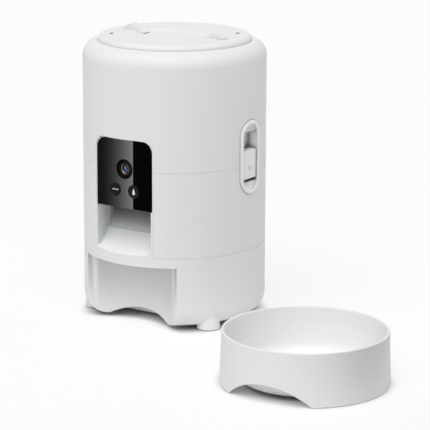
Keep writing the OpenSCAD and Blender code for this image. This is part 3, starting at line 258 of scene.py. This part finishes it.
def make_finishes(colours):
    """Every finish of the feeder, by its record slot or its own name."""
    mouth_front, mouth_back = (corner[1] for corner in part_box("chute"))
    duct_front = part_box("duct")[0][1]
    shade_starts, shade_ends = duct_front + 2 * MM, duct_front + 11 * MM
    satin = {"Specular IOR Level": 0.35}
    dull = {"Specular IOR Level": 0.2}
    matt = {"Specular IOR Level": 0.05}
    return {
        # Moulded ABS, spark-eroded mould: even satin white, soft broad highlights
        "white_abs": grainy("moulded_white_abs", colours.white_abs, 0.55, 1.4, 0.004, **satin),
        # The same plastic from a smoother mould
        "inner_white_abs": grainy("smooth_white_abs", colours.inner_abs, 0.4, 1.4, 0.003, IOR=1.54),
        # The chute's white ABS: greyer towards the back, in place of the mouth's deep shadow
        "chute_abs": grainy("shaded_white_abs", colours.sill_abs, 0.5, 1.4, 0.003,
                            deep=(colours.mouth_painted_shade, mouth_front, mouth_back), **satin),
        # The duct's grey ABS: goes on from the chute's tone and darkens with that shadow
        "duct_abs": grainy("shaded_grey_abs", colours.mouth_painted_shade, 0.5, 1.4, 0.003,
                           deep=(colours.duct_abs, shade_starts, shade_ends), **satin),
        # The side latches' plastic: a whiter fitting, with painted shade darkening its corners
        "latch_abs": grainy("moulded_latch_abs", colours.latch_abs, 0.5, 1.4, 0.004,
                            corner_mm=6.0, **satin),
        # The camera housing's plastic: polished, and whiter than the body, partly a painted
        # highlight along the frame round the panel
        "bezel_abs": grainy("polished_white_abs", colours.bezel_abs, 0.3, 1.4, 0.001, IOR=1.54),
        # Polished cast acrylic: deep black with clear mirror images
        "black_gloss": grainy("polished_black_acrylic", colours.black_acrylic, 0.015, 6.0, 0.0,
                              0.005, IOR=1.49),
        # Moulded black ABS: dark with a soft sheen
        "black_satin": grainy("moulded_black_abs", colours.black_abs, 0.45, 0.8, 0.004, **dull),
        # Matt black paint on the lens ring: hardly any sheen
        "lens_black": grainy("matt_black_paint", "#050506", 0.75, 0.6, 0.004, **matt),
        # Moulded grey ABS of the rotor
        "grey_abs": grainy("moulded_grey_abs", colours.grey_abs, 0.45, 1.2, 0.006, IOR=1.54),
        # Acetal gears: creamy and waxy
        "gear_pom": grainy("moulded_acetal", "#E0DCCB", 0.34, 1.5, 0.003, IOR=1.48),
        # Moulded silicone: soft matt white
        "white_silicone": grainy("moulded_white_silicone", "#DDDEDE", 0.6, 0.9, 0.006, IOR=1.41),
        # Rubber feet and plugs: matt grey with a dusty grain; on the lid plugs the grey is partly a
        # painted shade
        "grey_rubber": grainy("moulded_grey_rubber", "#7D8083", 0.8, 0.7, 0.02, IOR=1.52),
        # Zinc-plated motor can: dull metal with slight clouding
        "motor_can": grainy("zinc_plate", "#B9BBBE", 0.36, 3.0, 0.002, 0.1, Metallic=1.0),
        # Sintered bronze: porous dull gold
        "bronze_bush": grainy("sintered_bronze", "#B48B4E", 0.48, 0.5, 0.01, 0.1, Metallic=1.0),
        # Non-woven sachet: matt off-white fibres
        "sachet_paper": grainy("non_woven_paper", "#E4E3DD", 0.9, 0.6, 0.04),
        # Turned steel: bright with fine lines round the shaft
        "steel": drawn_metal("turned_steel", "#C4C6C9", 0.28, 0.4, (0.05, 0.05, 1.0)),
        # Glass-fibre board under green solder resist
        "circuit_board": printed_board("solder_resist"),
        # Optical glass over a dark barrel: nearly black with a clear highlight
        "lens_glass": grainy("optical_glass", colours.lens_dark, 0.03, 8.0, 0.0, 0.005, IOR=1.6),
        # Anti-reflex coating as a blue mirror, on a small off-axis disc that paints the lens's blue
        # glint
        "lens_coating": grainy("coated_glass", colours.lens_blue, 0.1, 8.0, 0.0, 0.02,
                               Metallic=1.0),
        # A nearly white mirror coating on a second small off-axis disc: a painted glint that also
        # mirrors the studio's light
        "lens_core": grainy("white_glint_glass", colours.lens_core, 0.2, 8.0, 0.0, 0.02,
                            Metallic=1.0),
        # Anodised ring that holds the lens: warm dark grey metal
        "anodised_ring": grainy("anodised_aluminium", colours.lens_ring, 0.34, 0.6, 0.002, 0.06,
                                Metallic=1.0),
        # Screen-printed white ink
        "icon_ink": grainy("screen_printed_ink", colours.icon_white, 0.5, 0.5, 0.002),
    }


FINISHES = {}

# Pieces whose finish differs from the plain one of their slot
# camera_housing's whiter finish is partly a painted highlight round the panel
# lid_plugs' grey is partly a painted shade for the dark marks at the plugs
OWN_FINISH = {"lens_ring": "lens_black", "lid_plugs": "grey_rubber", "camera_housing": "bezel_abs",
              # The chute and duct carry painted shade that darkens inwards
              "chute": "chute_abs", "duct": "duct_abs",
              # The side latches get painted shade in their corners
              "latch_frame_right": "latch_abs", "latch_frame_left": "latch_abs",
              "latch_button_right": "latch_abs", "latch_button_left": "latch_abs"}


def finish_of(node):
    """The finish that a node's pieces get."""
    return OWN_FINISH.get(node, SLOT_OF[node])


def paint(obj, finish):
    """Gives a piece one finish all over."""
    obj.data.materials.clear()
    obj.data.materials.append(FINISHES[finish])


def new_piece(name, form, finish, body):
    """Turns a form into a smooth piece that rides on a body."""
    mesh = bpy.data.meshes.new(name)
    bmesh.ops.recalc_face_normals(form, faces=form.faces)
    form.to_mesh(mesh)
    form.free()
    mesh.shade_smooth()
    mesh.set_sharp_from_angle(angle=SHARP_ANGLE)
    piece = bpy.data.objects.new(name, mesh)
    bpy.context.scene.collection.objects.link(piece)
    paint(piece, finish)
    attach(piece, body)
    return piece


def even_normals(piece):
    """Keeps flat faces flat beside their rounded edges."""
    modifier = piece.modifiers.new("even_normals", "WEIGHTED_NORMAL")
    modifier.keep_sharp = True


def merged_copy(node):
    """A node's form with shared corners and whole flat faces."""
    form = bmesh.new()
    form.from_mesh(NODES[node].data)
    bmesh.ops.remove_doubles(form, verts=form.verts, dist=0.002 * MM)
    bmesh.ops.dissolve_limit(form, angle_limit=math.radians(0.5), verts=form.verts,
                             edges=form.edges)
    return form


def thicken(form, face, reach):
    """Grows a flat face into a plate, by a vector."""
    grown = bmesh.ops.extrude_face_region(form, geom=[face])["geom"]
    corners = [g for g in grown if isinstance(g, bmesh.types.BMVert)]
    bmesh.ops.translate(form, verts=corners, vec=reach)


class FEEDER_OT_finish_frame(bpy.types.Operator):
    """Give every CAD piece its finish"""

    bl_idname = "feeder.finish_frame"
    bl_label = "Finish the CAD pieces"

    def execute(self, context):
        FINISHES.update(make_finishes(context.scene.feeder_colours))
        for name, slot in SLOT_OF.items():
            if slot not in FINISHES:
                raise RuntimeError("no finish for slot " + slot)
            paint(NODES[name], finish_of(name))
        return {"FINISHED"}


class FEEDER_OT_round_edges(bpy.types.Operator):
    """Replace the outer mouldings by copies with rounded edges"""

    bl_idname = "feeder.round_edges"
    bl_label = "Round the moulded edges"

    # Radius of each moulding's edges, in millimetres
    RADII = {"bowl": 1.2, "base_tub": 0.5, "mid_shell": 0.3, "hopper_shell": 0.3,
             "camera_housing": 0.45, "camera_panel": 0.35,
             "latch_button_right": 0.6, "latch_button_left": 0.6, "lid_cover": 0.35,
             "lid_latch_right": 1.6, "lid_latch_left": 1.6, "lens_ring": 0.25,
             "set_button": 0.25, "feed_button": 0.25}
    # Only this far down from the top are the lid's latch blocks rounded, in millimetres
    CROWN = {"lid_latch_right": 4.5, "lid_latch_left": 4.5}
    # Every other piece is rounded all the way down
    WHOLE = 1000
    # Edges that turn by less than this belong to a curved face
    LEAST_TURN = math.radians(35)

    def execute(self, context):
        for node, radius in self.RADII.items():
            form = merged_copy(node)
            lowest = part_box(node)[1][2] - self.CROWN.get(node, self.WHOLE) * MM
            edges = [e for e in form.edges
                     if e.is_convex and e.calc_face_angle() > self.LEAST_TURN
                     and all(v.co.z > lowest for v in e.verts)]
            if not edges:
                raise RuntimeError("no edges to round on " + node)
            bmesh.ops.bevel(form, geom=edges, offset=radius * MM, offset_type="OFFSET", segments=3,
                            profile=0.5, affect="EDGES", clamp_overlap=False, material=-1)
            piece = new_piece(node + "_moulding", form, finish_of(node), BODY_OF[node])
            even_normals(piece)
            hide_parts(node)
        return {"FINISHED"}


class FEEDER_OT_latch_beads(bpy.types.Operator):
    """Replace the sharp bead round each side latch by a rounded one"""

    bl_idname = "feeder.latch_beads"
    bl_label = "Round the latch beads"

    # What stands out of the body by more than this is the sharp bead
    PROUD = 0.2 * MM
    # The sharp bead is pressed to this far below the body's skin
    PRESSED = 0.3 * MM
    # The rounded bead's foot lies this far below the skin
    SUNK = 0.5 * MM
    PROFILE_STEPS = 12
    END_STEPS = 32

    def execute(self, context):
        low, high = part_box("hopper_shell")
        self.body_r = (high[0] - low[0]) / 2
        self.sizes = context.scene.feeder_sizes
        for node, side in (("latch_frame_right", 1), ("latch_frame_left", -1)):
            form = merged_copy(node)
            for corner in form.verts:
                out = (corner.co - AXIS).xy
                if out.length > self.body_r + self.PROUD:
                    flush = out.normalized() * (self.body_r - self.PRESSED)
                    corner.co.xy = AXIS.xy + flush
            piece = new_piece(node + "_moulding", form, finish_of(node), BODY_OF[node])
            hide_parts(node)
            bead = new_piece(node + "_bead", self.bead(node, side), finish_of(node), BODY_OF[node])
        return {"FINISHED"}

    def bead(self, node, side):
        """A rounded bead that runs round the latch on the curve of the body."""
        low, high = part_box(node)
        middle_z = (low[2] + high[2]) / 2
        end_r = self.sizes.latch_width / 2
        straight = (high[2] - low[2]) / 2 - end_r
        half = self.sizes.bead_width / 2
        rise = max(high[0] - AXIS.x, AXIS.x - low[0]) - self.body_r
        turns = [math.pi * i / self.PROFILE_STEPS for i in range(self.PROFILE_STEPS + 1)]
        profile = [(half, -self.SUNK),
                   *((half * math.cos(a), rise * math.sin(a)) for a in turns),
                   (-half, -self.SUNK)]
        form = bmesh.new()
        corners = [form.verts.new((h, end_r - half + o, middle_z - straight)) for o, h in profile]
        line = [form.edges.new(pair) for pair in zip(corners, corners[1:])]
        for way in (1, -1):
            grown = bmesh.ops.extrude_edge_only(form, edges=line)["geom"]
            moved = [g for g in grown if isinstance(g, bmesh.types.BMVert)]
            bmesh.ops.translate(form, verts=moved, vec=(0, 0, way * 2 * straight))
            end = moved + [g for g in grown if isinstance(g, bmesh.types.BMEdge)
                           and all(v in moved for v in g.verts)]
            swept = bmesh.ops.spin(form, geom=end, cent=(0, 0, middle_z + way * straight),
                                   axis=(1, 0, 0), angle=math.pi, steps=self.END_STEPS,
                                   use_merge=False)["geom_last"]
            line = [g for g in swept if isinstance(g, bmesh.types.BMEdge)]
        bmesh.ops.remove_doubles(form, verts=form.verts, dist=0.01 * MM)
        for corner in form.verts:
            depth, across, up = corner.co
            out = math.sqrt(self.body_r ** 2 - across ** 2) + depth
            corner.co = (AXIS.x + side * out, AXIS.y + across, up)
        return form


class FEEDER_OT_lens(bpy.types.Operator):
    """Build the stepped baffle, the retainer, the front lens and two discs that paint its glints
    behind the lens ring
    """

    bl_idname = "feeder.lens"
    bl_label = "Build the lens"

    # Across from the axis and back from the barrel's front, in shares of the barrel's radius
    BAFFLE = ((0.97, 0.0), (0.97, 0.05), (0.87, 0.05), (0.87, 0.1), (0.77, 0.1))
    RETAINER = ((0.77, 0.12), (0.75, 0.08), (0.57, 0.2), (0.54, 0.26))
    # Radius, depth of the edge and rise of the domes, in the same shares
    FRONT_DOME = (0.55, 0.25, 0.15)
    COATED_DEPTH, COATED_RISE = 0.115, 0.03
    # Two coated discs beside the axis paint the lens's two glints, also mirroring the light: x, z
    # and radius
    COATED = (("lens_blue_glint", "lens_coating", 0.1, -0.09, 0.17),
              ("lens_core", "lens_core", -0.09, 0.1, 0.1))
    DOME_RINGS = 6

    def execute(self, context):
        low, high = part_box("lens_barrel")
        centre = middle("lens_barrel")
        self.front = Vector((centre.x, low[1], centre.z))
        barrel_r = (high[0] - low[0]) / 2
        for name, profile, finish in (("lens_baffle", self.BAFFLE, "black_satin"),
                                      ("lens_retainer", self.RETAINER, "anodised_ring")):
            form = self.turned([(r * barrel_r, d * barrel_r) for r, d in profile])
            new_piece(name, form, finish, "base_body")
        front = new_piece("lens_front", self.dome(*(share * barrel_r for share in self.FRONT_DOME)),
                          "lens_glass", "base_body")
        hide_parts("lens_glass")
        for name, finish, x, z, radius in self.COATED:
            form = self.dome(radius * barrel_r, self.COATED_DEPTH * barrel_r,
                             self.COATED_RISE * barrel_r)
            bmesh.ops.translate(form, verts=form.verts, vec=(x * barrel_r, 0, z * barrel_r))
            new_piece(name, form, finish, "base_body")
        return {"FINISHED"}

    def turned(self, profile):
        """A profile of (radius, depth) turned round the lens's axis."""
        form = bmesh.new()
        corners = [form.verts.new(self.front + Vector((r, d, 0))) for r, d in profile]
        edges = [form.edges.new(pair) for pair in zip(corners, corners[1:])]
        bmesh.ops.spin(form, geom=corners + edges, cent=self.front, axis=(0, 1, 0),
                       angle=math.tau, steps=64, use_merge=True)
        return form

    def dome(self, radius, depth, rise):
        """A shallow dome with its edge at a depth."""
        profile = []
        for i in range(1, self.DOME_RINGS + 1):
            share = i / self.DOME_RINGS
            profile.append((radius * share, depth - rise * (1 - share * share)))
        form = self.turned(profile)
        inmost = radius * 1.5 / self.DOME_RINGS
        inner = [e for e in form.edges if e.is_boundary
                 and all((v.co - self.front).xz.length < inmost for v in e.verts)]
        bmesh.ops.edgeloop_fill(form, edges=inner)
        return form


class FEEDER_OT_button_icons(bpy.types.Operator):
    """Print a row of dots and a drop on the two panel buttons"""

    bl_idname = "feeder.button_icons"
    bl_label = "Print the button icons"

    # Sizes of the icons, in millimetres
    DOT_PITCH, DOT_RADIUS = 2.7, 0.85
    DROP_RADIUS, DROP_HEIGHT = 1.9, 6.6
    # How the drop thins to its tip and swells at its belly
    TIP_SHARE, TIP_POWER, BELLY = 0.75, 0.8, 1.25
    DOT_STEPS, DROP_STEPS = 24, 40
    # The ink lies on the floor of the button's shallow dish
    DISH = 0.4 * MM
    INK = 0.06 * MM

    def execute(self, context):
        dots = [self.disc(place * self.DOT_PITCH, 0.0, self.DOT_RADIUS) for place in (-1, 0, 1)]
        self.print_on("set_button", "set_icon", dots)
        self.print_on("feed_button", "feed_icon", [self.drop(self.DROP_RADIUS, self.DROP_HEIGHT)])
        return {"FINISHED"}

    def disc(self, x, z, radius):
        """Points of a disc, in millimetres from the button's middle."""
        turns = [math.tau * i / self.DOT_STEPS for i in range(self.DOT_STEPS)]
        return [(x + radius * math.cos(a), z + radius * math.sin(a)) for a in turns]

    def drop(self, radius, height):
        """Points of a drop that stands on its round end."""
        points = []
        for i in range(self.DROP_STEPS):
            a = math.tau * i / self.DROP_STEPS
            taper = (1 + math.cos(a)) / 2
            width = radius * math.sin(a) * (1 - self.TIP_SHARE * taper ** self.TIP_POWER)
            points.append((width * self.BELLY, height / 2 * math.cos(a)))
        return points

    def print_on(self, button, name, outlines):
        """Lays the outlines as ink on a button."""
        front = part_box(button)[0][1] + self.DISH - self.INK
        centre = middle(button)
        form = bmesh.new()
        for outline in outlines:
            corners = [form.verts.new((centre.x + x * MM, front, centre.z + z * MM))
                       for x, z in outline]
            thicken(form, form.faces.new(corners), (0, self.INK, 0))
        new_piece(name, form, "icon_ink", BODY_OF[button])


class FEEDER_OT_latch_arrows(bpy.types.Operator):
    """Raise a small arrow on each side latch's button"""

    bl_idname = "feeder.latch_arrows"
    bl_label = "Raise the latch arrows"

    # Corners across and up from the arrow's tip, in millimetres
    ARROW = ((0, 0), (2.2, 3.6), (-2.2, 3.6))
    # The tip's place below the button's top, and how deep the arrow is set in the button
    TIP_DOWN = 20.5 * MM
    SUNK = 0.1 * MM
    THICK = 0.7 * MM
    EDGE_R = 0.12 * MM

    def execute(self, context):
        for node, side in (("latch_button_right", 1), ("latch_button_left", -1)):
            low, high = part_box(node)
            face = high[0] if side > 0 else low[0]
            tip = Vector((face - side * self.SUNK, AXIS.y, high[2] - self.TIP_DOWN))
            form = bmesh.new()
            corners = [form.verts.new(tip + Vector((0, y * MM, z * MM))) for y, z in self.ARROW]
            thicken(form, form.faces.new(corners), (side * self.THICK, 0, 0))
            bmesh.ops.bevel(form, geom=form.edges[:], offset=self.EDGE_R, segments=2, profile=0.5,
                            affect="EDGES", clamp_overlap=True, material=-1)
            arrow = new_piece(node + "_arrow", form, finish_of(node), BODY_OF[node])
        return {"FINISHED"}


class FEEDER_OT_springs(bpy.types.Operator):
    """Wind the coil springs under the side latches' buttons"""

    bl_idname = "feeder.springs"
    bl_label = "Wind the latch springs"

    WIRE_R = 0.45 * MM
    TURNS = 6
    STEPS_PER_TURN = 24
    # The latch button's way, by which the real spring gets shorter when pressed
    TRAVEL = 3 * MM

    def execute(self, context):
        wire, travel = self.WIRE_R, self.TRAVEL
        steps = self.TURNS * self.STEPS_PER_TURN
        for node, joint in (("latch_spring_right", "latch_right_slide"),
                            ("latch_spring_left", "latch_left_slide")):
            low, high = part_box(node)
            centre = middle(node)
            length = high[2] - low[2]
            coil_r = (high[0] - low[0]) / 2 - wire
            form = bmesh.new()
            start = (Matrix.Translation((centre.x + coil_r, centre.y, low[2] + wire))
                     @ Matrix.Rotation(math.pi / 2, 4, "X"))
            ring = bmesh.ops.create_circle(form, segments=8, radius=wire, cap_ends=False,
                                           matrix=start)
            rise = (length - 2 * wire) / steps
            bmesh.ops.spin(form, geom=ring["verts"] + form.edges[:], cent=centre, axis=(0, 0, 1),
                           dvec=(0, 0, rise), angle=math.tau * self.TURNS, steps=steps,
                           use_merge=False)
            bmesh.ops.holes_fill(form, edges=[e for e in form.edges if e.is_boundary], sides=0)
            spring = new_piece(node + "_coil", form, "steel", "base_body")
            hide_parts(node)
            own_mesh(spring)
        return {"FINISHED"}


class FEEDER_OT_stage(bpy.types.Operator):
    """Make the studio floor, the light and the camera"""

    bl_idname = "feeder.stage"
    bl_label = "Set up the stage"

    WHITE = (1, 1, 1, 1)
    # How much of the seen floor is plain white; the rest shows the light and shade on it
    FLOOR_WHITE = 0.8
    # The floor's seen white carries a painted contact shadow this close to the object, between
    # these shares of open sky
    CONTACT_REACH = 0.02
    CONTACT_DARK, CONTACT_CLEAR = 0.1, 0.7
    FLOOR_DROP = 0.1 * MM
    # The world's strength where it lights the object, and where it is seen
    SKY_LIGHT, SKY_SEEN = 0.2, 1.0
    KEY_ENERGY, RIM_ENERGY = 2.55, 0.4
    # How broad the lamps are, as an angle in the sky
    LAMP_BREADTH = math.radians(60)
    # The card's strength at its dim end and at its edge
    CARD_DIM, CARD_BRIGHT = 0.15, 4.2
    SENSOR_WIDTH_MM = 36.0
    VIEW_REACH = 100.0

    def execute(self, context):
        sizes = context.scene.feeder_sizes
        context.scene.view_settings.view_transform = "Standard"
        self.make_floor(sizes)
        self.make_light(context.scene, sizes)
        self.make_reflector(sizes)
        self.make_flag(sizes)
        self.make_camera(context.scene, sizes)
        return {"FINISHED"}

    def direction(self, turn, height):
        """A unit vector turned from the front to the right, and raised."""
        return Vector((math.sin(turn) * math.cos(height), -math.cos(turn) * math.cos(height),
                       math.sin(height)))

    def seen_rays(self, tree):
        """1 for the rays that show a surface, 0 for those that light others."""
        rays = add_node(tree, "ShaderNodeLightPath").outputs
        seen = rays["Is Camera Ray"]
        for kind in ("Is Glossy Ray", "Is Transmission Ray"):
            either = add_node(tree, "ShaderNodeMath", {0: seen, 1: rays[kind]}, operation="MAXIMUM")
            seen = either.outputs["Value"]
        return seen

    def new_stage(self, name, form, material):
        """Turns a form into a piece of the stage."""
        mesh = bpy.data.meshes.new(name)
        form.to_mesh(mesh)
        form.free()
        mesh.materials.append(material)
        piece = bpy.data.objects.new(name, mesh)
        bpy.context.scene.collection.objects.link(piece)
        return piece

    def make_floor(self, sizes):
        """A painted studio floor: white where it is seen, with the object's shadow on it, partly
        lit and partly a painted contact shadow.
        """
        material, tree, output = blank_material("painted_floor")
        share = add_node(tree, "ShaderNodeMath", {0: self.seen_rays(tree), 1: self.FLOOR_WHITE},
                         operation="MULTIPLY")
        coat = add_node(tree, "ShaderNodeBsdfDiffuse", {"Color": linear("#F4F4F4")})
        # Painted contact shadow: the seen white dims where the object hems the floor in
        nearness = add_node(tree, "ShaderNodeAmbientOcclusion", {"Distance": self.CONTACT_REACH},
                            samples=8)
        open_share = add_node(tree, "ShaderNodeMapRange", {
            "Value": nearness.outputs["AO"], "From Min": self.CONTACT_DARK,
            "From Max": self.CONTACT_CLEAR})
        white = add_node(tree, "ShaderNodeEmission", {
            "Color": self.WHITE, "Strength": open_share.outputs["Result"]})
        mixed = add_node(tree, "ShaderNodeMixShader", {
            "Fac": share.outputs["Value"], 1: coat.outputs["BSDF"], 2: white.outputs["Emission"]})
        tree.links.new(mixed.outputs["Shader"], output.inputs["Surface"])
        form = bmesh.new()
        bmesh.ops.create_circle(form, cap_ends=True, segments=96, radius=sizes.floor_radius,
                                matrix=Matrix.Translation((0, 0, -self.FLOOR_DROP)))
        self.new_stage("studio_floor", form, material)

    def make_light(self, scene, sizes):
        """A white world that lights softly, a key lamp and a rim lamp."""
        world = bpy.data.worlds.new("studio_world")
        world.use_nodes = True
        scene.world = world
        tree = world.node_tree
        tree.nodes.clear()
        strength = add_node(tree, "ShaderNodeMapRange", {
            "Value": self.seen_rays(tree), "To Min": self.SKY_LIGHT, "To Max": self.SKY_SEEN})
        sky = add_node(tree, "ShaderNodeBackground", {
            "Color": self.WHITE, "Strength": strength.outputs["Result"]})
        output = add_node(tree, "ShaderNodeOutputWorld")
        tree.links.new(sky.outputs["Background"], output.inputs["Surface"])
        self.add_sun("key_light", self.KEY_ENERGY, sizes.camera_turn - sizes.key_turn,
                     sizes.key_height)
        self.add_sun("rim_light", self.RIM_ENERGY, sizes.camera_turn + sizes.rim_turn,
                     sizes.rim_height)

    def add_sun(self, name, energy, turn, height):
        """A broad distant lamp, turned from the front to the right."""
        lamp = bpy.data.lights.new(name, "SUN")
        lamp.energy = energy
        lamp.angle = self.LAMP_BREADTH
        sun = bpy.data.objects.new(name, lamp)
        bpy.context.scene.collection.objects.link(sun)
        sun.rotation_euler = self.direction(turn, height).to_track_quat("Z", "Y").to_euler()

    def make_reflector(self, sizes):
        """A studio card that the polished panel mirrors: bright up to an edge, black beyond it."""
        turn = sizes.camera_turn
        across = Vector((math.cos(turn), -math.sin(turn), 0))
        # The way on which the panel mirrors the camera's view
        outward = self.direction(-turn, -sizes.camera_pitch)
        place = middle("camera_panel") + outward * sizes.card_distance
        edge = place.dot(across) + sizes.card_edge
        material, tree, output = blank_material("reflector_card")
        where = add_node(tree, "ShaderNodeTexCoord")
        along = add_node(tree, "ShaderNodeVectorMath", {0: where.outputs["Object"], 1: across},
                         operation="DOT_PRODUCT")
        share = add_node(tree, "ShaderNodeMapRange", {
            "Value": along.outputs["Value"], "From Min": edge - sizes.card_fade, "From Max": edge})
        square = add_node(tree, "ShaderNodeMath", {0: share.outputs["Result"], 1: 2.0},
                          operation="POWER")
        glow = add_node(tree, "ShaderNodeMapRange", {
            "Value": square.outputs["Value"], "To Min": self.CARD_DIM, "To Max": self.CARD_BRIGHT})
        inside = add_node(tree, "ShaderNodeMath", {0: along.outputs["Value"], 1: edge},
                          operation="LESS_THAN")
        strength = add_node(tree, "ShaderNodeMath", {
            0: glow.outputs["Result"], 1: inside.outputs["Value"]}, operation="MULTIPLY")
        light = add_node(tree, "ShaderNodeEmission", {
            "Color": self.WHITE, "Strength": strength.outputs["Value"]})
        tree.links.new(light.outputs["Emission"], output.inputs["Surface"])
        facing = Matrix.Translation(place) @ outward.to_track_quat("Z", "Y").to_matrix().to_4x4()
        form = bmesh.new()
        bmesh.ops.create_grid(form, x_segments=1, y_segments=1, size=sizes.card_size / 2,
                              matrix=facing)
        card = self.new_stage("reflector_card", form, material)
        # Only mirrors see the card, so it neither lights nor shades the object
        card.visible_camera = False
        card.visible_diffuse = False
        card.visible_transmission = False
        card.visible_shadow = False

    def make_flag(self, sizes):
        """A black studio flag beside the bowl, which keeps light off the bowl's right side."""
        low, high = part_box("bowl")
        turn = sizes.camera_turn
        across = Vector((math.cos(turn), math.sin(turn), 0))
        forward = Vector((math.sin(turn), -math.cos(turn), 0))
        reach = (high[0] - low[0]) / 2 + sizes.flag_gap
        ahead = sizes.flag_ahead + sizes.flag_length / 2
        foot = middle("bowl") * Vector((1, 1, 0)) + across * reach + forward * ahead
        material, tree, output = blank_material("black_felt")
        felt = add_node(tree, "ShaderNodeBsdfDiffuse", {"Color": linear("#050505")})
        tree.links.new(felt.outputs["BSDF"], output.inputs["Surface"])
        near, far = (foot + forward * (end * sizes.flag_length / 2) for end in (-1, 1))
        rise = Vector((0, 0, sizes.flag_height))
        form = bmesh.new()
        form.faces.new([form.verts.new(corner) for corner in (near, far, far + rise, near + rise)])
        flag = self.new_stage("black_flag", form, material)
        # Neither the camera nor a shadow shows the flag: it only takes away bounced light
        flag.visible_camera = False
        flag.visible_shadow = False

    def make_camera(self, scene, sizes):
        """A camera at the photograph's angle, with the body's axis where the photograph has it."""
        lens = bpy.data.cameras.new("photo_camera")
        lens.sensor_fit = "HORIZONTAL"
        lens.sensor_width = self.SENSOR_WIDTH_MM
        lens.lens = sizes.focal_px / IMAGE_PX * lens.sensor_width
        lens.clip_end = self.VIEW_REACH
        camera = bpy.data.objects.new("photo_camera", lens)
        scene.collection.objects.link(camera)
        aim = AXIS + Vector((0, 0, sizes.aim_height))
        away = self.direction(sizes.camera_turn, sizes.camera_pitch)
        facing = away.to_track_quat("Z", "Y").to_matrix().to_4x4()
        pan = math.atan((IMAGE_PX / 2 - sizes.aim_px_x) / sizes.focal_px)
        tilt = math.atan((IMAGE_PX / 2 - sizes.aim_px_y) / sizes.focal_px)
        camera.matrix_world = (Matrix.Translation(aim + away * sizes.camera_distance) @ facing
                               @ Matrix.Rotation(-pan, 4, "Y") @ Matrix.Rotation(-tilt, 4, "X"))
        scene.camera = camera


class FEEDER_PT_panel(bpy.types.Panel):
    """Lists the feeder's steps and values"""

    bl_label = "Pet feeder"
    bl_idname = "FEEDER_PT_panel"
    bl_space_type = "VIEW_3D"
    bl_region_type = "UI"
    bl_category = "Feeder"

    def draw(self, context):
        for step in STEPS:
            self.layout.operator(step.bl_idname)
        for group in (context.scene.feeder_colours, context.scene.feeder_sizes):
            for name in group.__annotations__:
                self.layout.prop(group, name)


STEPS = [FEEDER_OT_finish_frame, FEEDER_OT_round_edges, FEEDER_OT_latch_beads, FEEDER_OT_lens,
         FEEDER_OT_button_icons, FEEDER_OT_latch_arrows, FEEDER_OT_springs, FEEDER_OT_stage]
CLASSES = [FeederColours, FeederSizes, *STEPS, FEEDER_PT_panel]


def register():
    for kind in CLASSES:
        bpy.utils.register_class(kind)
    bpy.types.Scene.feeder_colours = PointerProperty(type=FeederColours)
    bpy.types.Scene.feeder_sizes = PointerProperty(type=FeederSizes)


def unregister():
    del bpy.types.Scene.feeder_sizes
    del bpy.types.Scene.feeder_colours
    for kind in reversed(CLASSES):
        bpy.utils.unregister_class(kind)


def main():
    register()
    for step in STEPS:
        group, name = step.bl_idname.split(".")
        getattr(getattr(bpy.ops, group), name)()


if __name__ == "__main__":
    main()
